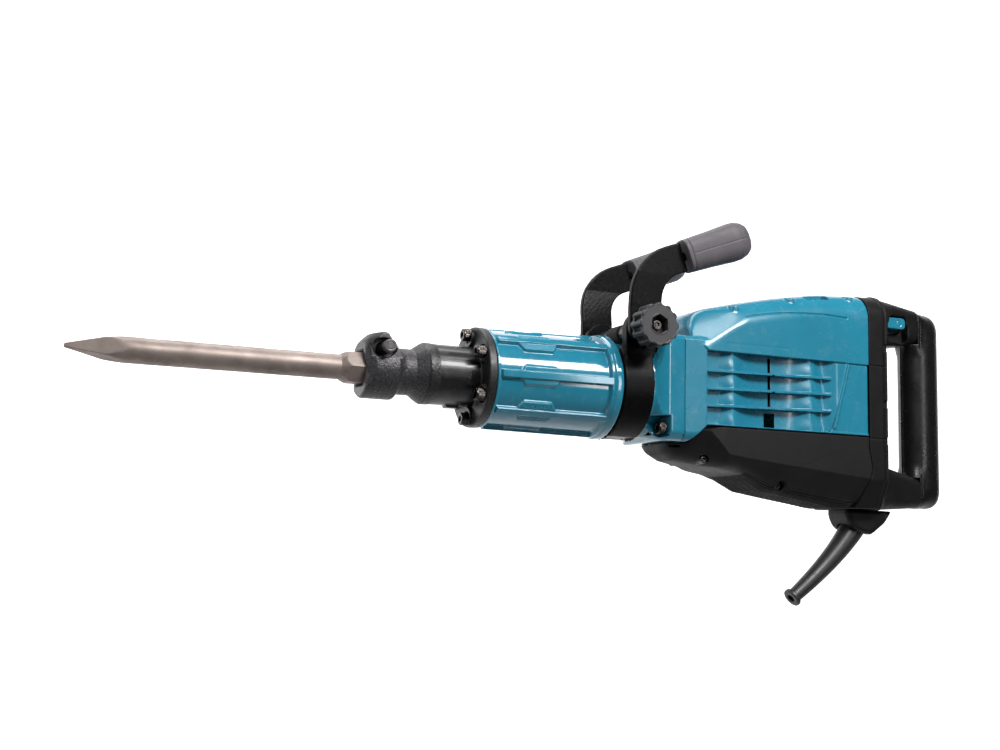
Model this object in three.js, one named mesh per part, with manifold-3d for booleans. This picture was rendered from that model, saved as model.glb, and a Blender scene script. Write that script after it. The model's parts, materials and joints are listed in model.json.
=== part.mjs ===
// Electric demolition hammer with a bull point, side handle and rear D-handle.
// Tool coordinates in millimetres: X runs backwards from the nose along the barrel axis,
// Y is across the tool and Z is up; the barrel axis is Y = Z = 0.
import * as THREE from 'three';
import { mergeVertices } from 'three/addons/utils/BufferGeometryUtils.js';
import Module from 'manifold-3d';

const wasm = await Module();
wasm.setup();

// ---------------------------------------------------------------- driving dimensions
const GAP = 0.35;                 // clearance between neighbouring pieces

const TIP_X = -317;               // chisel point
const BAR_R = 14;                 // round bar of the chisel
const HEX_AF = 34;                // hexagonal shank, across flats
const SHANK_END_X = 140;

const NOSE_X = 2.5;               // front face of the tool holder
const HOLDER_R = 34.5;
const FLANGE_X = 137;
const FLANGE_R = 58.5;
const FLANGE_T = 10;
const BOLT_COUNT = 6;
const BOLT_CIRCLE_R = 49;
const BOLT_R = 4;                 // M8 socket-head bolts
const BOLT_HOLE_R = 4.4;
const BOLT_HEAD_R = 7;
const BOLT_HEAD_T = 9;
const PIN_X = 23;                 // retainer pin, lying across the top of the shank
const PIN_Z = 22;
const PIN_R = 7.3;

const BARREL_X0 = FLANGE_X + FLANGE_T + GAP;
const BARREL_X1 = 307;
const BARREL_R0 = 56;
const BARREL_R1 = 59;
const RIB_COUNT = 8;

const LINER_R = 26.4;             // bore of the cylinder liner
const PISTON_R = 26;              // piston and striker
const SEAL_R = 23;                // bottom of their ring grooves
const CRANK_X = 400;              // crank axis, parallel to Z
const CRANK_THROW = 20;
const CRANK_PIN_R = 7;
const WRIST_PIN_R = 5;
const JOURNAL_R = 10;             // crankshaft journal
const SHAFT_R = 6;                // motor shaft, intermediate shaft and pivot bolt
const CASE_BOLT_YZ = 46;          // crankcase bolts, below and to each side
const ROD_LENGTH = 94;
const WRIST_X = CRANK_X + CRANK_THROW - ROD_LENGTH;
const CASE_R = 64;                // crankcase flange
const CASE_HALF_W = 49;
const CRANK_GEAR_Z = [-56, -45];
const IDLER_GEAR_Z = [-76, -66];
const IDLER_X = 452;              // intermediate shaft
const MOTOR_X = 497;              // motor axis, parallel to Z
const CRANK_GEAR = { module: 8 / 3, teeth: 30 };
const IDLER_PINION = { module: 8 / 3, teeth: 9 };
const IDLER_GEAR = { module: 2.25, teeth: 32 };
const MOTOR_PINION = { module: 2.25, teeth: 8 };

const BAND_X0 = 308;              // side handle clamp band
const BAND_X1 = 347;
const NECK_R = 55;
const PIVOT_X = 333;              // side handle pivot bolt
const PIVOT_Z = 66;
const ARM_W = 42;
const ARM_T = 8;
const ARM_Y_LOW = 61;             // plate mid-plane beside the clamp lugs
const ARM_Y_HIGH = 66;            // plate mid-plane above the joggle
const KNOB_Y0 = 65.5;
const KNOB_Y1 = 97.5;
const GRIP_LENGTH = 89;
const GRIP_RISE = THREE.MathUtils.degToRad(20.4);
const GRIP_SPLAY = THREE.MathUtils.degToRad(8);

const HOOD_X0 = 390.2;            // teal motor hood
const HOOD_X1 = 662;
const HOOD_Z0 = -44;
const HOOD_W = 62;
const WALL = 4;
const LOUVRE_X0 = 427;            // side louvres: recess, fins and air slots
const LOUVRE_X1 = 612;
const FIN_Z = [22, 0, -22];
const SLOT_Z = [11, -11, -30];
const HOOD_SCREW_X = [467, 550, 646];
const SHELL_X1 = 695;             // black rear shell
const GRIP_X0 = 748;              // rear grip, front face
const GRIP_X1 = 820;
const GRIP_JOINT_X = 776;         // rubber meets the housing's arms here
const GRIP_HALF_W = 21;

const FRAME_X = (TIP_X + GRIP_X1) / 2;
const GUARD_END = new THREE.Vector3(584, 0, -249);

// ---------------------------------------------------------------- materials
const COLOURS = {
  tealPaint: [0x23808f, 0.35, 0.3],
  tealPlastic: [0x2a86a0, 0.0, 0.4],
  blackPlastic: [0x232325, 0.0, 0.6],
  rubber: [0x1d1d1f, 0.0, 0.85],
  blackSteel: [0x2b2b2d, 0.6, 0.45],
  steel: [0xa9a29b, 0.9, 0.35],
  castIron: [0x4c4a4b, 0.6, 0.7],
  aluminium: [0xb4b6b8, 0.9, 0.4],
  copper: [0xb8703c, 0.9, 0.35],
  brass: [0xc0a050, 0.9, 0.35],
  board: [0x2f5c3c, 0.0, 0.6],
};

// ---------------------------------------------------------------- solid helpers
function toSolid(geometry) {
  const bare = geometry.index ? geometry.toNonIndexed() : geometry.clone();
  bare.deleteAttribute('normal');
  bare.deleteAttribute('uv');
  const merged = mergeVertices(bare, 1e-4);
  const mesh = new wasm.Mesh({
    numProp: 3,
    vertProperties: new Float32Array(merged.attributes.position.array),
    triVerts: new Uint32Array(merged.index.array),
  });
  return new wasm.Manifold(mesh);
}

function toGeometry(solid) {
  const mesh = solid.getMesh();
  const geometry = new THREE.BufferGeometry();
  geometry.setAttribute('position', new THREE.BufferAttribute(new Float32Array(mesh.vertProperties), 3));
  geometry.setIndex(new THREE.BufferAttribute(new Uint32Array(mesh.triVerts), 1));
  geometry.computeVertexNormals();
  return geometry;
}

function join(...geometries) {
  return toGeometry(geometries.map(toSolid).reduce((a, b) => a.add(b)));
}

function cut(body, ...tools) {
  return toGeometry(tools.map(toSolid).reduce((a, b) => a.subtract(b), toSolid(body)));
}

function common(a, b) {
  return toGeometry(toSolid(a).intersect(toSolid(b)));
}

// Turned piece from [distance along the axis, radius] pairs; it starts and ends on the axis,
// or closes on itself when it has a bore.
function turned(profile, segments = 20) {
  const points = profile.map(([along, radius]) => new THREE.Vector2(radius, along));
  return new THREE.LatheGeometry(points, segments);
}

const alongX = (geometry) => geometry.rotateZ(-Math.PI / 2);
const alongZ = (geometry) => geometry.rotateX(Math.PI / 2);

function rodProfile(a, b, r) {
  return [[a, 0], [a, r], [b, r], [b, 0]];
}

function tubeProfile(a, b, inner, outer) {
  return [[a, inner], [a, outer], [b, outer], [b, inner], [a, inner]];
}

function rodX(a, b, r, segments = 20) {
  return alongX(turned(rodProfile(a, b, r), segments));
}

function rodY(a, b, r, x, z, segments = 18) {
  return turned(rodProfile(a, b, r), segments).translate(x, 0, z);
}

function rodZ(a, b, r, x, y, segments = 18) {
  return alongZ(turned(rodProfile(a, b, r), segments)).translate(x, y, 0);
}

function tubeX(a, b, inner, outer, segments = 24) {
  return alongX(turned(tubeProfile(a, b, inner, outer), segments));
}

function box(x0, x1, y0, y1, z0, z1) {
  const geometry = new THREE.BoxGeometry(x1 - x0, y1 - y0, z1 - z0);
  return geometry.translate((x0 + x1) / 2, (y0 + y1) / 2, (z0 + z1) / 2);
}

// Prism of an outline in the XZ plane, running across the tool from y0 to y1.
function prismY(points, y0, y1) {
  const shape = new THREE.Shape(points.map(([x, z]) => new THREE.Vector2(x, z)));
  const geometry = new THREE.ExtrudeGeometry(shape, { depth: y1 - y0, bevelEnabled: false });
  return geometry.rotateX(Math.PI / 2).translate(0, y1, 0);
}

// Prism of an outline in the YZ plane, running along the tool from x0 to x1.
function prismX(points, x0, x1) {
  const shape = new THREE.Shape(points.map(([y, z]) => new THREE.Vector2(y, z)));
  const geometry = new THREE.ExtrudeGeometry(shape, { depth: x1 - x0, bevelEnabled: false });
  return geometry.rotateX(Math.PI / 2).rotateZ(Math.PI / 2).translate(x0, 0, 0);
}

function arc(cx, cz, r, fromDeg, toDeg, steps) {
  const points = [];
  for (let i = 0; i <= steps; i += 1) {
    const a = THREE.MathUtils.degToRad(fromDeg + ((toDeg - fromDeg) * i) / steps);
    points.push([cx + r * Math.cos(a), cz + r * Math.sin(a)]);
  }
  return points;
}

function hexPrismX(acrossFlats, x0, x1) {
  const corners = arc(0, 0, acrossFlats / Math.sqrt(3), 0, 300, 5);
  return prismX(corners, x0, x1);
}

// Closed skin over a row of rings with equal point counts; the end rings are convex.
function loft(rings) {
  const count = rings[0].length;
  const positions = rings.flat().flatMap((p) => [p.x, p.y, p.z]);
  const index = [];
  for (let r = 0; r + 1 < rings.length; r += 1) {
    for (let i = 0; i < count; i += 1) {
      const a = r * count + i;
      const b = r * count + ((i + 1) % count);
      index.push(a, b, a + count, b, b + count, a + count);
    }
  }
  const last = (rings.length - 1) * count;
  for (let i = 1; i + 1 < count; i += 1) {
    index.push(0, i + 1, i);
    index.push(last, last + i, last + i + 1);
  }
  const geometry = new THREE.BufferGeometry();
  geometry.setAttribute('position', new THREE.Float32BufferAttribute(positions, 3));
  geometry.setIndex(index);
  geometry.computeVertexNormals();
  return geometry;
}

// Rounded box section at one station along X.
function section({ x, w, z0, z1, top = 10, bottom = 10 }, inset = 0) {
  const steps = inset > 0 ? 2 : 4;
  const half = w - inset;
  const low = z0 + inset;
  const high = z1 - inset;
  const rt = Math.max(top - inset, 1);
  const rb = Math.max(bottom - inset, 1);
  const corners = [
    [half - rb, low + rb, rb, -90],
    [half - rt, high - rt, rt, 0],
    [rt - half, high - rt, rt, 90],
    [rb - half, low + rb, rb, 180],
  ];
  const ring = corners.flatMap(([y, z, r, from]) => arc(y, z, r, from, from + 90, steps));
  return ring.map(([y, z]) => new THREE.Vector3(x, y, z));
}

function loftStations(stations, inset = 0) {
  return loft(stations.map((s) => section(s, inset)));
}

// Involute-like gear with its axis on Z, backlash left for free running.
function gear({ module, teeth }, z0, z1, phase = 0) {
  const pitch = (module * teeth) / 2;
  const root = pitch - 0.95 * module;
  const tip = pitch + 0.6 * module;
  const step = (2 * Math.PI) / teeth;
  const points = [];
  for (let i = 0; i < teeth; i += 1) {
    const mid = phase + i * step;
    const halfRoot = 0.27 * step;
    const halfTip = 0.1 * step;
    [[root, -halfRoot], [tip, -halfTip], [tip, halfTip], [root, halfRoot]].forEach(([r, a]) => {
      points.push(new THREE.Vector2(r * Math.cos(mid + a), r * Math.sin(mid + a)));
    });
  }
  const shape = new THREE.Shape(points);
  const geometry = new THREE.ExtrudeGeometry(shape, { depth: z1 - z0, bevelEnabled: false });
  return geometry.translate(0, 0, z0);
}

function coilX(x0, x1, radius, wire, turns) {
  const points = [];
  const steps = turns * 10;
  for (let i = 0; i <= steps; i += 1) {
    const a = (2 * Math.PI * i) / 10;
    const x = x0 + wire + ((x1 - x0 - 2 * wire) * i) / steps;
    points.push(new THREE.Vector3(x, radius * Math.cos(a), radius * Math.sin(a)));
  }
  const path = new THREE.CatmullRomCurve3(points);
  const ring = new THREE.Shape(arc(0, 0, wire, 0, 270, 3).map(([a, b]) => new THREE.Vector2(a, b)));
  return new THREE.ExtrudeGeometry(ring, { steps, bevelEnabled: false, extrudePath: path });
}

// One copy of a piece, made by make(), at each place of the flange's bolt circle.
function boltCircle(make) {
  return Array.from({ length: BOLT_COUNT }, (_, k) => {
    const a = ((2 * k + 1) * Math.PI) / BOLT_COUNT;
    return make(BOLT_CIRCLE_R * Math.cos(a), BOLT_CIRCLE_R * Math.sin(a), k + 1);
  });
}

// ---------------------------------------------------------------- scene groups
const hammer = new THREE.Group();
hammer.name = 'demolition_hammer';
const tool = new THREE.Group();
tool.name = 'tool_frame';
hammer.add(tool);

function add(parent, name, geometry, colour, position = [0, 0, 0], rotation = [0, 0, 0]) {
  const [hex, metalness, roughness] = COLOURS[colour];
  const material = new THREE.MeshStandardMaterial({ color: hex, metalness, roughness });
  const mesh = new THREE.Mesh(geometry, material);
  mesh.name = name;
  mesh.position.set(...position);
  mesh.rotation.set(...rotation);
  parent.add(mesh);
  return mesh;
}

// ---------------------------------------------------------------- chisel
function bullPoint() {
  const bar = alongX(turned([
    [TIP_X, 0], [TIP_X, BAR_R], [-22, BAR_R], [-12, HEX_AF / 2 + 1], [-10, HEX_AF / 2 + 1], [-10, 0],
  ], 32));
  const shank = hexPrismX(HEX_AF, -12, SHANK_END_X);
  const collar = common(bar, join(rodX(TIP_X, -21, BAR_R + 1), hexPrismX(HEX_AF, -22, SHANK_END_X)));
  const slope = BAR_R / 51;
  const height = 470;
  const pyramid = new THREE.ConeGeometry(slope * height, height, 4).rotateZ(Math.PI / 2);
  pyramid.rotateX(THREE.MathUtils.degToRad(15)).translate(TIP_X + height / 2, 0, 0);
  const notch = box(PIN_X - PIN_R - 1, PIN_X + PIN_R + 23, -30, 30, PIN_Z - PIN_R - GAP, 40);
  return cut(common(join(collar, shank), pyramid), notch);
}

// ---------------------------------------------------------------- tool holder and retainer
function toolHolder() {
  const nose = loftStations([
    { x: NOSE_X, w: 20, z0: -29, z1: 36, top: 12, bottom: 14 },
    { x: NOSE_X + 6, w: 26, z0: -33, z1: 40, top: 10, bottom: 18 },
    { x: 38, w: 26, z0: -33, z1: 38, top: 10, bottom: 18 },
    { x: 47, w: 24, z0: -26, z1: 26, top: 20, bottom: 20 },
  ]);
  const sleeve = alongX(turned([
    [44, 0], [44, 25.5], [63, 25.5], [76, HOLDER_R], [FLANGE_X - 6, HOLDER_R], [FLANGE_X, HOLDER_R + 5],
    [FLANGE_X, FLANGE_R], [FLANGE_X + FLANGE_T, FLANGE_R], [FLANGE_X + FLANGE_T, 0],
  ], 32));
  const hexBore = hexPrismX(HEX_AF + 2 * GAP, NOSE_X - 1, 142);
  const rearBore = rodX(141, 148, 18);
  const pinBore = rodY(-30, 30, PIN_R + GAP, PIN_X, PIN_Z, 16);
  const recess = prismY([
    ...arc(PIN_X + 5, PIN_Z, 10, -90, 90, 6), ...arc(PIN_X - 7, PIN_Z, 10, 90, 270, 6),
  ], -30, -19);
  const boltHoles = boltCircle((y, z) => (
    rodX(FLANGE_X - 1, FLANGE_X + FLANGE_T + 1, BOLT_HOLE_R, 8).translate(0, y, z)
  ));
  return cut(join(nose, sleeve), hexBore, rearBore, pinBore, recess, ...boltHoles);
}

function retainerPin() {
  const pin = turned([
    [-43, 0], [-43, PIN_R - 1], [-42, PIN_R], [24, PIN_R], [24, 0],
  ], 24);
  const flat = box(-20, 20, -18.5, 18.5, 4.3, 20);
  return cut(pin, flat);
}

// Socket-head bolt facing forwards, its head at the origin.
function socketBolt(length) {
  const body = alongX(turned([
    [0, 0], [0, BOLT_HEAD_R], [BOLT_HEAD_T, BOLT_HEAD_R],
    [BOLT_HEAD_T, BOLT_R], [length, BOLT_R], [length, 0],
  ], 12));
  return cut(body, hexPrismX(6.4, -1, 5));
}

// ---------------------------------------------------------------- percussion unit
function barrelHousing() {
  const skin = alongX(turned([
    [BARREL_X0, 0], [BARREL_X0, FLANGE_R], [BARREL_X0 + 5, FLANGE_R], [BARREL_X0 + 7, BARREL_R0],
    [294, BARREL_R1], [297, 63], [BARREL_X1, 63], [BARREL_X1, 0],
  ], 40));
  const ribs = [];
  for (let k = 0; k < RIB_COUNT; k += 1) {
    const rib = prismY([[0, 50], [0, 59], [148, 62.5], [148, 50]], -6, 6);
    ribs.push(rib.translate(BARREL_X0 + 3, 0, 0).rotateX((k * 2 * Math.PI) / RIB_COUNT));
  }
  const bore = rodX(BARREL_X0 - 1, BARREL_X1 + 1, 46.5, 28);
  const threads = boltCircle((y, z) => rodX(BARREL_X0 - 1, 161, BOLT_HOLE_R, 8).translate(0, y, z));
  return cut(join(skin, ...ribs), bore, ...threads);
}

const impactBolt = () => alongX(turned([
  [148.5, 0], [148.5, 14], [184, 14], [184, 22], [195, 22], [195, 12], [205, 12], [205, 0],
], 28));

const striker = () => alongX(turned([
  [206, 0], [206, 13], [211, 15], [213, PISTON_R], [221, PISTON_R], [221, SEAL_R], [226, SEAL_R],
  [226, PISTON_R], [236, PISTON_R], [236, 0],
], 24));

function piston() {
  const crown = WRIST_X - 24;
  const body = alongX(turned([
    [crown, 0], [crown, PISTON_R], [crown + 5, PISTON_R], [crown + 5, SEAL_R], [crown + 10, SEAL_R],
    [crown + 10, PISTON_R], [crown + 38, PISTON_R], [crown + 38, 0],
  ], 24));
  const slot = box(WRIST_X - 12, crown + 40, -30, 30, -7.6, 7.6);
  const bore = rodZ(-30, 30, WRIST_PIN_R + GAP, WRIST_X, 0, 16);
  return cut(body, slot, bore);
}

function connectingRod() {
  const big = rodZ(-7, 7, 13, CRANK_X + CRANK_THROW, 0, 16);
  const small = rodZ(-7, 7, 10, WRIST_X, 0, 16);
  const beam = box(WRIST_X, CRANK_X + CRANK_THROW, -6, 6, -5, 5);
  const bigBore = rodZ(-8, 8, CRANK_PIN_R + GAP, CRANK_X + CRANK_THROW, 0, 16);
  const smallBore = rodZ(-8, 8, WRIST_PIN_R + GAP, WRIST_X, 0, 16);
  return cut(join(big, small, beam), bigBore, smallBore);
}

function counterweight() {
  return tubeX(215, 255, 32, 45, 28);
}

// ---------------------------------------------------------------- crankcase and gear train
function crankcase() {
  const neck = rodX(BARREL_X1 + GAP + 0.15, 352, NECK_R, 36);
  const flange = rodX(BAND_X1 + 0.6, HOOD_X0 - 0.6, CASE_R, 36);
  const pockets = [];
  const bosses = [];
  const boltHoles = [];
  for (const side of [-1, 1]) {
    bosses.push(rodX(370, HOOD_X0 - 0.6, 10, 16).translate(0, side * CASE_BOLT_YZ, -CASE_BOLT_YZ));
    pockets.push(rodX(345, 370, 9.5, 16).translate(0, side * CASE_BOLT_YZ, -CASE_BOLT_YZ));
    boltHoles.push(rodX(369, 392, BOLT_HOLE_R, 8).translate(0, side * CASE_BOLT_YZ, -CASE_BOLT_YZ));
  }
  const rear = box(380, 447, -CASE_HALF_W, CASE_HALF_W, -59, 56);
  const bore = rodX(BARREL_X1, 360, 46, 32);
  const chamber = box(356, 443, -44, 44, -70, 50);
  const pinionRoom = box(440, 450, -16, 16, -60, -41);
  return cut(join(neck, flange, rear, ...bosses), bore, chamber, pinionRoom, ...pockets, ...boltHoles);
}

function crankshaft() {
  const web = rodZ(-24, -7.6, 30, 0, 0, 16);
  const journal = rodZ(-58, -23, JOURNAL_R, 0, 0, 16);
  return join(web, journal);
}

function boredGear(spec, z0, z1, bore) {
  return cut(gear(spec, z0, z1), rodZ(z0 - 1, z1 + 1, bore, 0, 0, 16));
}

// ---------------------------------------------------------------- side handle
function clampBand() {
  const ring = tubeX(BAND_X0, BAND_X1, NECK_R + GAP, CASE_R, 36);
  const outline = [
    ...arc(PIVOT_X, PIVOT_Z, ARM_W / 2, 0, 180, 10),
    [PIVOT_X - ARM_W / 2, 20], [BAND_X1, 20], [BAND_X1 + 7, 50],
  ];
  const lugs = prismY(outline, -56, 56);
  const between = box(BAND_X0 - 10, BAND_X1 + 20, -44, 44, 15, 100);
  const collar = rodX(BAND_X0 - 10, BAND_X1 + 0.2, NECK_R + GAP, 36);
  const behind = rodX(BAND_X1, BAND_X1 + 20, CASE_R + 0.6, 36);
  const boltBore = rodY(-60, 60, SHAFT_R + GAP, PIVOT_X, PIVOT_Z, 16);
  return cut(join(ring, lugs), between, collar, behind, boltBore);
}

// Direction of a grip; side is -1 for the left (near) grip and +1 for the right one.
function gripAxis(side) {
  return new THREE.Vector3(
    Math.cos(GRIP_RISE) * Math.cos(GRIP_SPLAY),
    side * Math.sin(GRIP_SPLAY),
    Math.sin(GRIP_RISE) * Math.cos(GRIP_SPLAY),
  );
}

const gripStart = (side) => new THREE.Vector3(384, side * ARM_Y_HIGH, 157);

function alongGrip(geometry, side) {
  const turn = new THREE.Quaternion().setFromUnitVectors(new THREE.Vector3(0, 1, 0), gripAxis(side));
  const matrix = new THREE.Matrix4().compose(gripStart(side), turn, new THREE.Vector3(1, 1, 1));
  return geometry.applyMatrix4(matrix);
}

function tang(grow, side) {
  const half = 5 + grow;
  return alongGrip(turned([[-14, 0], [-14, half], [52 + grow, half], [52 + grow, 0]], 12), side);
}

function handleArm(side) {
  const half = ARM_T / 2;
  const left = PIVOT_X - ARM_W / 2;
  const right = PIVOT_X + ARM_W / 2;
  const rise = THREE.MathUtils.radToDeg(GRIP_RISE);
  const bendZ0 = 92;
  const bendZ1 = 104;
  const lean = 17 * Math.sin(GRIP_RISE);
  const outerX = gripStart(side).x - 3.5 - lean;
  const innerX = gripStart(side).x - 3.5 + lean;
  const lower = prismY([
    ...arc(PIVOT_X, PIVOT_Z, ARM_W / 2, 180, 360, 12), [right, bendZ0], [left, bendZ0],
  ], side * ARM_Y_LOW - half, side * ARM_Y_LOW + half);
  const outer = arc(left + 66, bendZ1, 66, 180, 90 + rise, 8);
  const inner = arc(right + 32, bendZ1, 32, 90 + rise, 180, 5);
  const slope = Math.tan(GRIP_RISE);
  const outerEnd = outer[outer.length - 1];
  const upper = prismY([
    ...outer, [outerX, outerEnd[1] + (outerX - outerEnd[0]) * slope],
    [innerX, inner[0][1] + (innerX - inner[0][0]) * slope], ...inner,
  ], side * ARM_Y_HIGH - half, side * ARM_Y_HIGH + half);
  const joggle = prismX([
    [side * ARM_Y_LOW - half, bendZ0 - 0.5], [side * ARM_Y_LOW + half, bendZ0 - 0.5],
    [side * ARM_Y_HIGH + half, bendZ1 + 0.5], [side * ARM_Y_HIGH - half, bendZ1 + 0.5],
  ], left, right);
  const bore = rodY(-90, 90, SHAFT_R + GAP, PIVOT_X, PIVOT_Z, 16);
  return cut(join(lower, upper, joggle, tang(0, side)), bore);
}

function handleGrip(side) {
  const body = alongGrip(turned([
    [0, 0], [0, 15.5], [2.5, 17.5], [35, 19], [66, 21.2], [75, 20.5], [83, 16.5], [GRIP_LENGTH - 1, 9],
    [GRIP_LENGTH, 0],
  ], 20), side);
  return cut(body, tang(GAP, side));
}

function starKnob() {
  const lobes = 12;
  const outline = [];
  for (let i = 0; i < lobes * 4; i += 1) {
    const a = (2 * Math.PI * i) / (lobes * 4);
    const r = 24.5 + 1.6 * Math.cos(lobes * a);
    outline.push([r * Math.cos(a), r * Math.sin(a)]);
  }
  const head = prismY(outline, -KNOB_Y1, -KNOB_Y0 - 12);
  const hub = rodY(-KNOB_Y0 - 13, -KNOB_Y0, 18, 0, 0, 16);
  const socket = rodY(-KNOB_Y1 - 1, -KNOB_Y1 + 8, 10, 0, 0, 6);
  const bore = rodY(-KNOB_Y1 - 1, -KNOB_Y0 + 1, SHAFT_R + GAP, 0, 0, 16);
  return cut(join(head, hub), socket, bore);
}

function clampBolt() {
  const shaft = rodY(-KNOB_Y1 + 4, KNOB_Y0 + 1, SHAFT_R, 0, 0, 16);
  const head = rodY(KNOB_Y0, KNOB_Y0 + 9, 10.5, 0, 0, 6);
  return join(shaft, head);
}

// ---------------------------------------------------------------- motor housing
function hoodTop(x) {
  return 97 + 44 * Math.sin((Math.min(Math.max((x - 405) / 275, 0), 1) * Math.PI) / 2);
}

function hoodStations() {
  return [405.2, 412, 440, 480, 530, 590, 630, HOOD_X1].map((x) => (
    {
      x,
      w: x < 410 ? HOOD_W - 4 : HOOD_W,
      z0: HOOD_Z0,
      z1: hoodTop(x) - (x < 410 ? 5 : 0),
      top: 34,
      bottom: 1.2,
    }
  ));
}

function motorHood() {
  const skirt = loftStations([
    { x: HOOD_X0, w: 57, z0: HOOD_Z0, z1: 64, top: 26, bottom: 1.2 },
    { x: 430, w: 57, z0: HOOD_Z0, z1: 66, top: 26, bottom: 1.2 },
  ]);
  const skirtHollow = box(HOOD_X0 - 1, 432, -CASE_HALF_W - 0.6, CASE_HALF_W + 0.6, -60, 56.6);
  const body = loftStations(hoodStations());
  const hollowStations = hoodStations().map((s, i, all) => {
    const x = i === 0 ? s.x + WALL : s.x + (i === all.length - 1 ? 1 : 0);
    return { ...s, x, z0: HOOD_Z0 - 10 };
  });
  const hollow = loftStations(hollowStations, WALL);
  const pockets = [-1, 1].map((side) => box(LOUVRE_X0, LOUVRE_X1, side * 60 - 4, side * 60 + 4, -38, 45));
  const back = [-1, 1].map((side) => (
    box(LOUVRE_X0 - 6, LOUVRE_X1 + 6, side * 54 - 2.5, side * 54 + 2.5, -41, 49)
  ));
  const fins = [-1, 1].flatMap((side) => FIN_Z.map((z) => (
    box(LOUVRE_X0 - 2, LOUVRE_X1 - 12, side * 57.5 - 3.5, side * 57.5 + 3.5, z - 1.5, z + 1.5)
  )));
  const slots = [-1, 1].flatMap((side) => SLOT_Z.map((z) => (
    box(LOUVRE_X0 + 15, LOUVRE_X1 - 40, side * 54 - 4, side * 54 + 4, z - 3, z + 3)
  )));
  const screwHoles = HOOD_SCREW_X.map((x) => rodZ(hoodTop(x) - 3.2, hoodTop(x) + 5, 5.5, x, 0, 16));
  const shell = cut(join(body, skirt), hollow, skirtHollow, ...pockets);
  return cut(join(shell, ...back, ...fins), ...slots, ...screwHoles);
}

function coverBottom(x) {
  const points = [[377, -70], [384, -80], [398, -86], [449, -94], [473, -97], [493, -104], [518, -117],
    [598, -129], [629, -134], [HOOD_X1, -134]];
  const next = points.findIndex((p) => p[0] >= x);
  if (next <= 0) {
    return points[0][1];
  }
  const [x0, z0] = points[next - 1];
  const [x1, z1] = points[next];
  return z0 + ((z1 - z0) * (x - x0)) / (x1 - x0);
}

function lowerCover() {
  const stations = [377, 384, 398, 430, 460, 493, 518, 560, 598, 629, HOOD_X1].map((x) => ({
    x,
    w: 40 + 21 * Math.min(Math.max((x - 377) / 90, 0), 1),
    z0: coverBottom(x),
    z1: x < HOOD_X0 + 8 ? -60 : HOOD_Z0 - GAP,
    top: 1.2,
    bottom: x < 384 ? 4 : 18,
  }));
  const hollow = stations.map((s, i, all) => ({
    ...s,
    x: i === 0 ? s.x + WALL : s.x + (i === all.length - 1 ? 1 : 0),
    z1: s.z1 + 10,
  }));
  const flangeRoom = rodX(370, HOOD_X0, CASE_R + 0.4, 40);
  const bossRoom = [-1, 1].map((side) => (
    rodX(369, HOOD_X0, 10.5, 16).translate(0, side * CASE_BOLT_YZ, -CASE_BOLT_YZ)
  ));
  const caseRoom = box(379, 446.4, -CASE_HALF_W - 0.4, CASE_HALF_W + 0.4, -59.4, 0);
  return cut(loftStations(stations), loftStations(hollow, WALL), flangeRoom, caseRoom, ...bossRoom);
}

function rearHousing() {
  const shell = loftStations([
    { x: HOOD_X1 + GAP, w: 61, z0: -134, z1: 141, top: 32, bottom: 18 },
    { x: 684, w: 60, z0: -134, z1: 142, top: 32, bottom: 18 },
    { x: SHELL_X1, w: 55, z0: -133, z1: 142, top: 30, bottom: 18 },
  ]);
  const hollow = loftStations([
    { x: HOOD_X1 - 1, w: 61, z0: -134, z1: 141, top: 32, bottom: 18 },
    { x: SHELL_X1 - 6, w: 60, z0: -134, z1: 141, top: 32, bottom: 18 },
  ], 8);
  const upperArm = loftStations([
    { x: SHELL_X1 - 4, w: 42, z0: 86, z1: 142, top: 22, bottom: 10 },
    { x: 725, w: 30, z0: 92, z1: 141, top: 18, bottom: 10 },
    { x: GRIP_JOINT_X - GAP, w: 22, z0: 100, z1: 136, top: 12, bottom: 8 },
  ]);
  const lowerArm = loftStations([
    { x: SHELL_X1 - 4, w: 42, z0: -133, z1: -78, top: 10, bottom: 18 },
    { x: 725, w: 32, z0: -132, z1: -86, top: 10, bottom: 16 },
    { x: GRIP_JOINT_X - GAP, w: 22, z0: -129, z1: -97, top: 8, bottom: 12 },
  ]);
  const leverSlot = box(717.5, 751.5, -60, 60, 104.5, 122.5);
  const dialSeat = rodY(54.5, 70, 14.5, 678, 20, 16);
  return cut(join(shell, upperArm, lowerArm), hollow, leverSlot, dialSeat);
}

function rearGrip() {
  const joint = GRIP_JOINT_X;
  const outline = [
    [joint, 136], ...arc(GRIP_X1 - 20, 114, 20, 82, 0, 5),
    ...arc(GRIP_X1 - 20, -107, 20, 0, -86, 5), [joint, -129],
    [joint, -96], ...arc(GRIP_X0 + 16, -74, 16, -60, -180, 4),
    ...arc(GRIP_X0 + 16, 76, 16, 180, 60, 4), [joint, 98],
  ].reverse();
  const shape = new THREE.Shape(outline.map(([x, z]) => new THREE.Vector2(x, z)));
  const bevel = 8;
  const geometry = new THREE.ExtrudeGeometry(shape, {
    depth: 2 * (GRIP_HALF_W - bevel),
    bevelThickness: bevel,
    bevelSize: bevel,
    bevelOffset: -bevel,
    bevelSegments: 3,
  });
  return geometry.rotateX(Math.PI / 2).translate(0, GRIP_HALF_W - bevel, 0);
}

// ---------------------------------------------------------------- cord entry
function cordGland() {
  const boss = loftStations([
    { x: 656, w: 22, z0: -150, z1: -137, top: 5, bottom: 9 },
    { x: 664, w: 24, z0: -160, z1: -134.4, top: 3, bottom: 12 },
    { x: 694, w: 24, z0: -166, z1: -134.4, top: 3, bottom: 14 },
    { x: 716, w: 22, z0: -152, z1: -134.4, top: 3, bottom: 10 },
    { x: 734, w: 16, z0: -139, z1: -134.6, top: 1.5, bottom: 2 },
  ]);
  return cut(boss, guardPath(17.5, 17.5));
}

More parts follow.
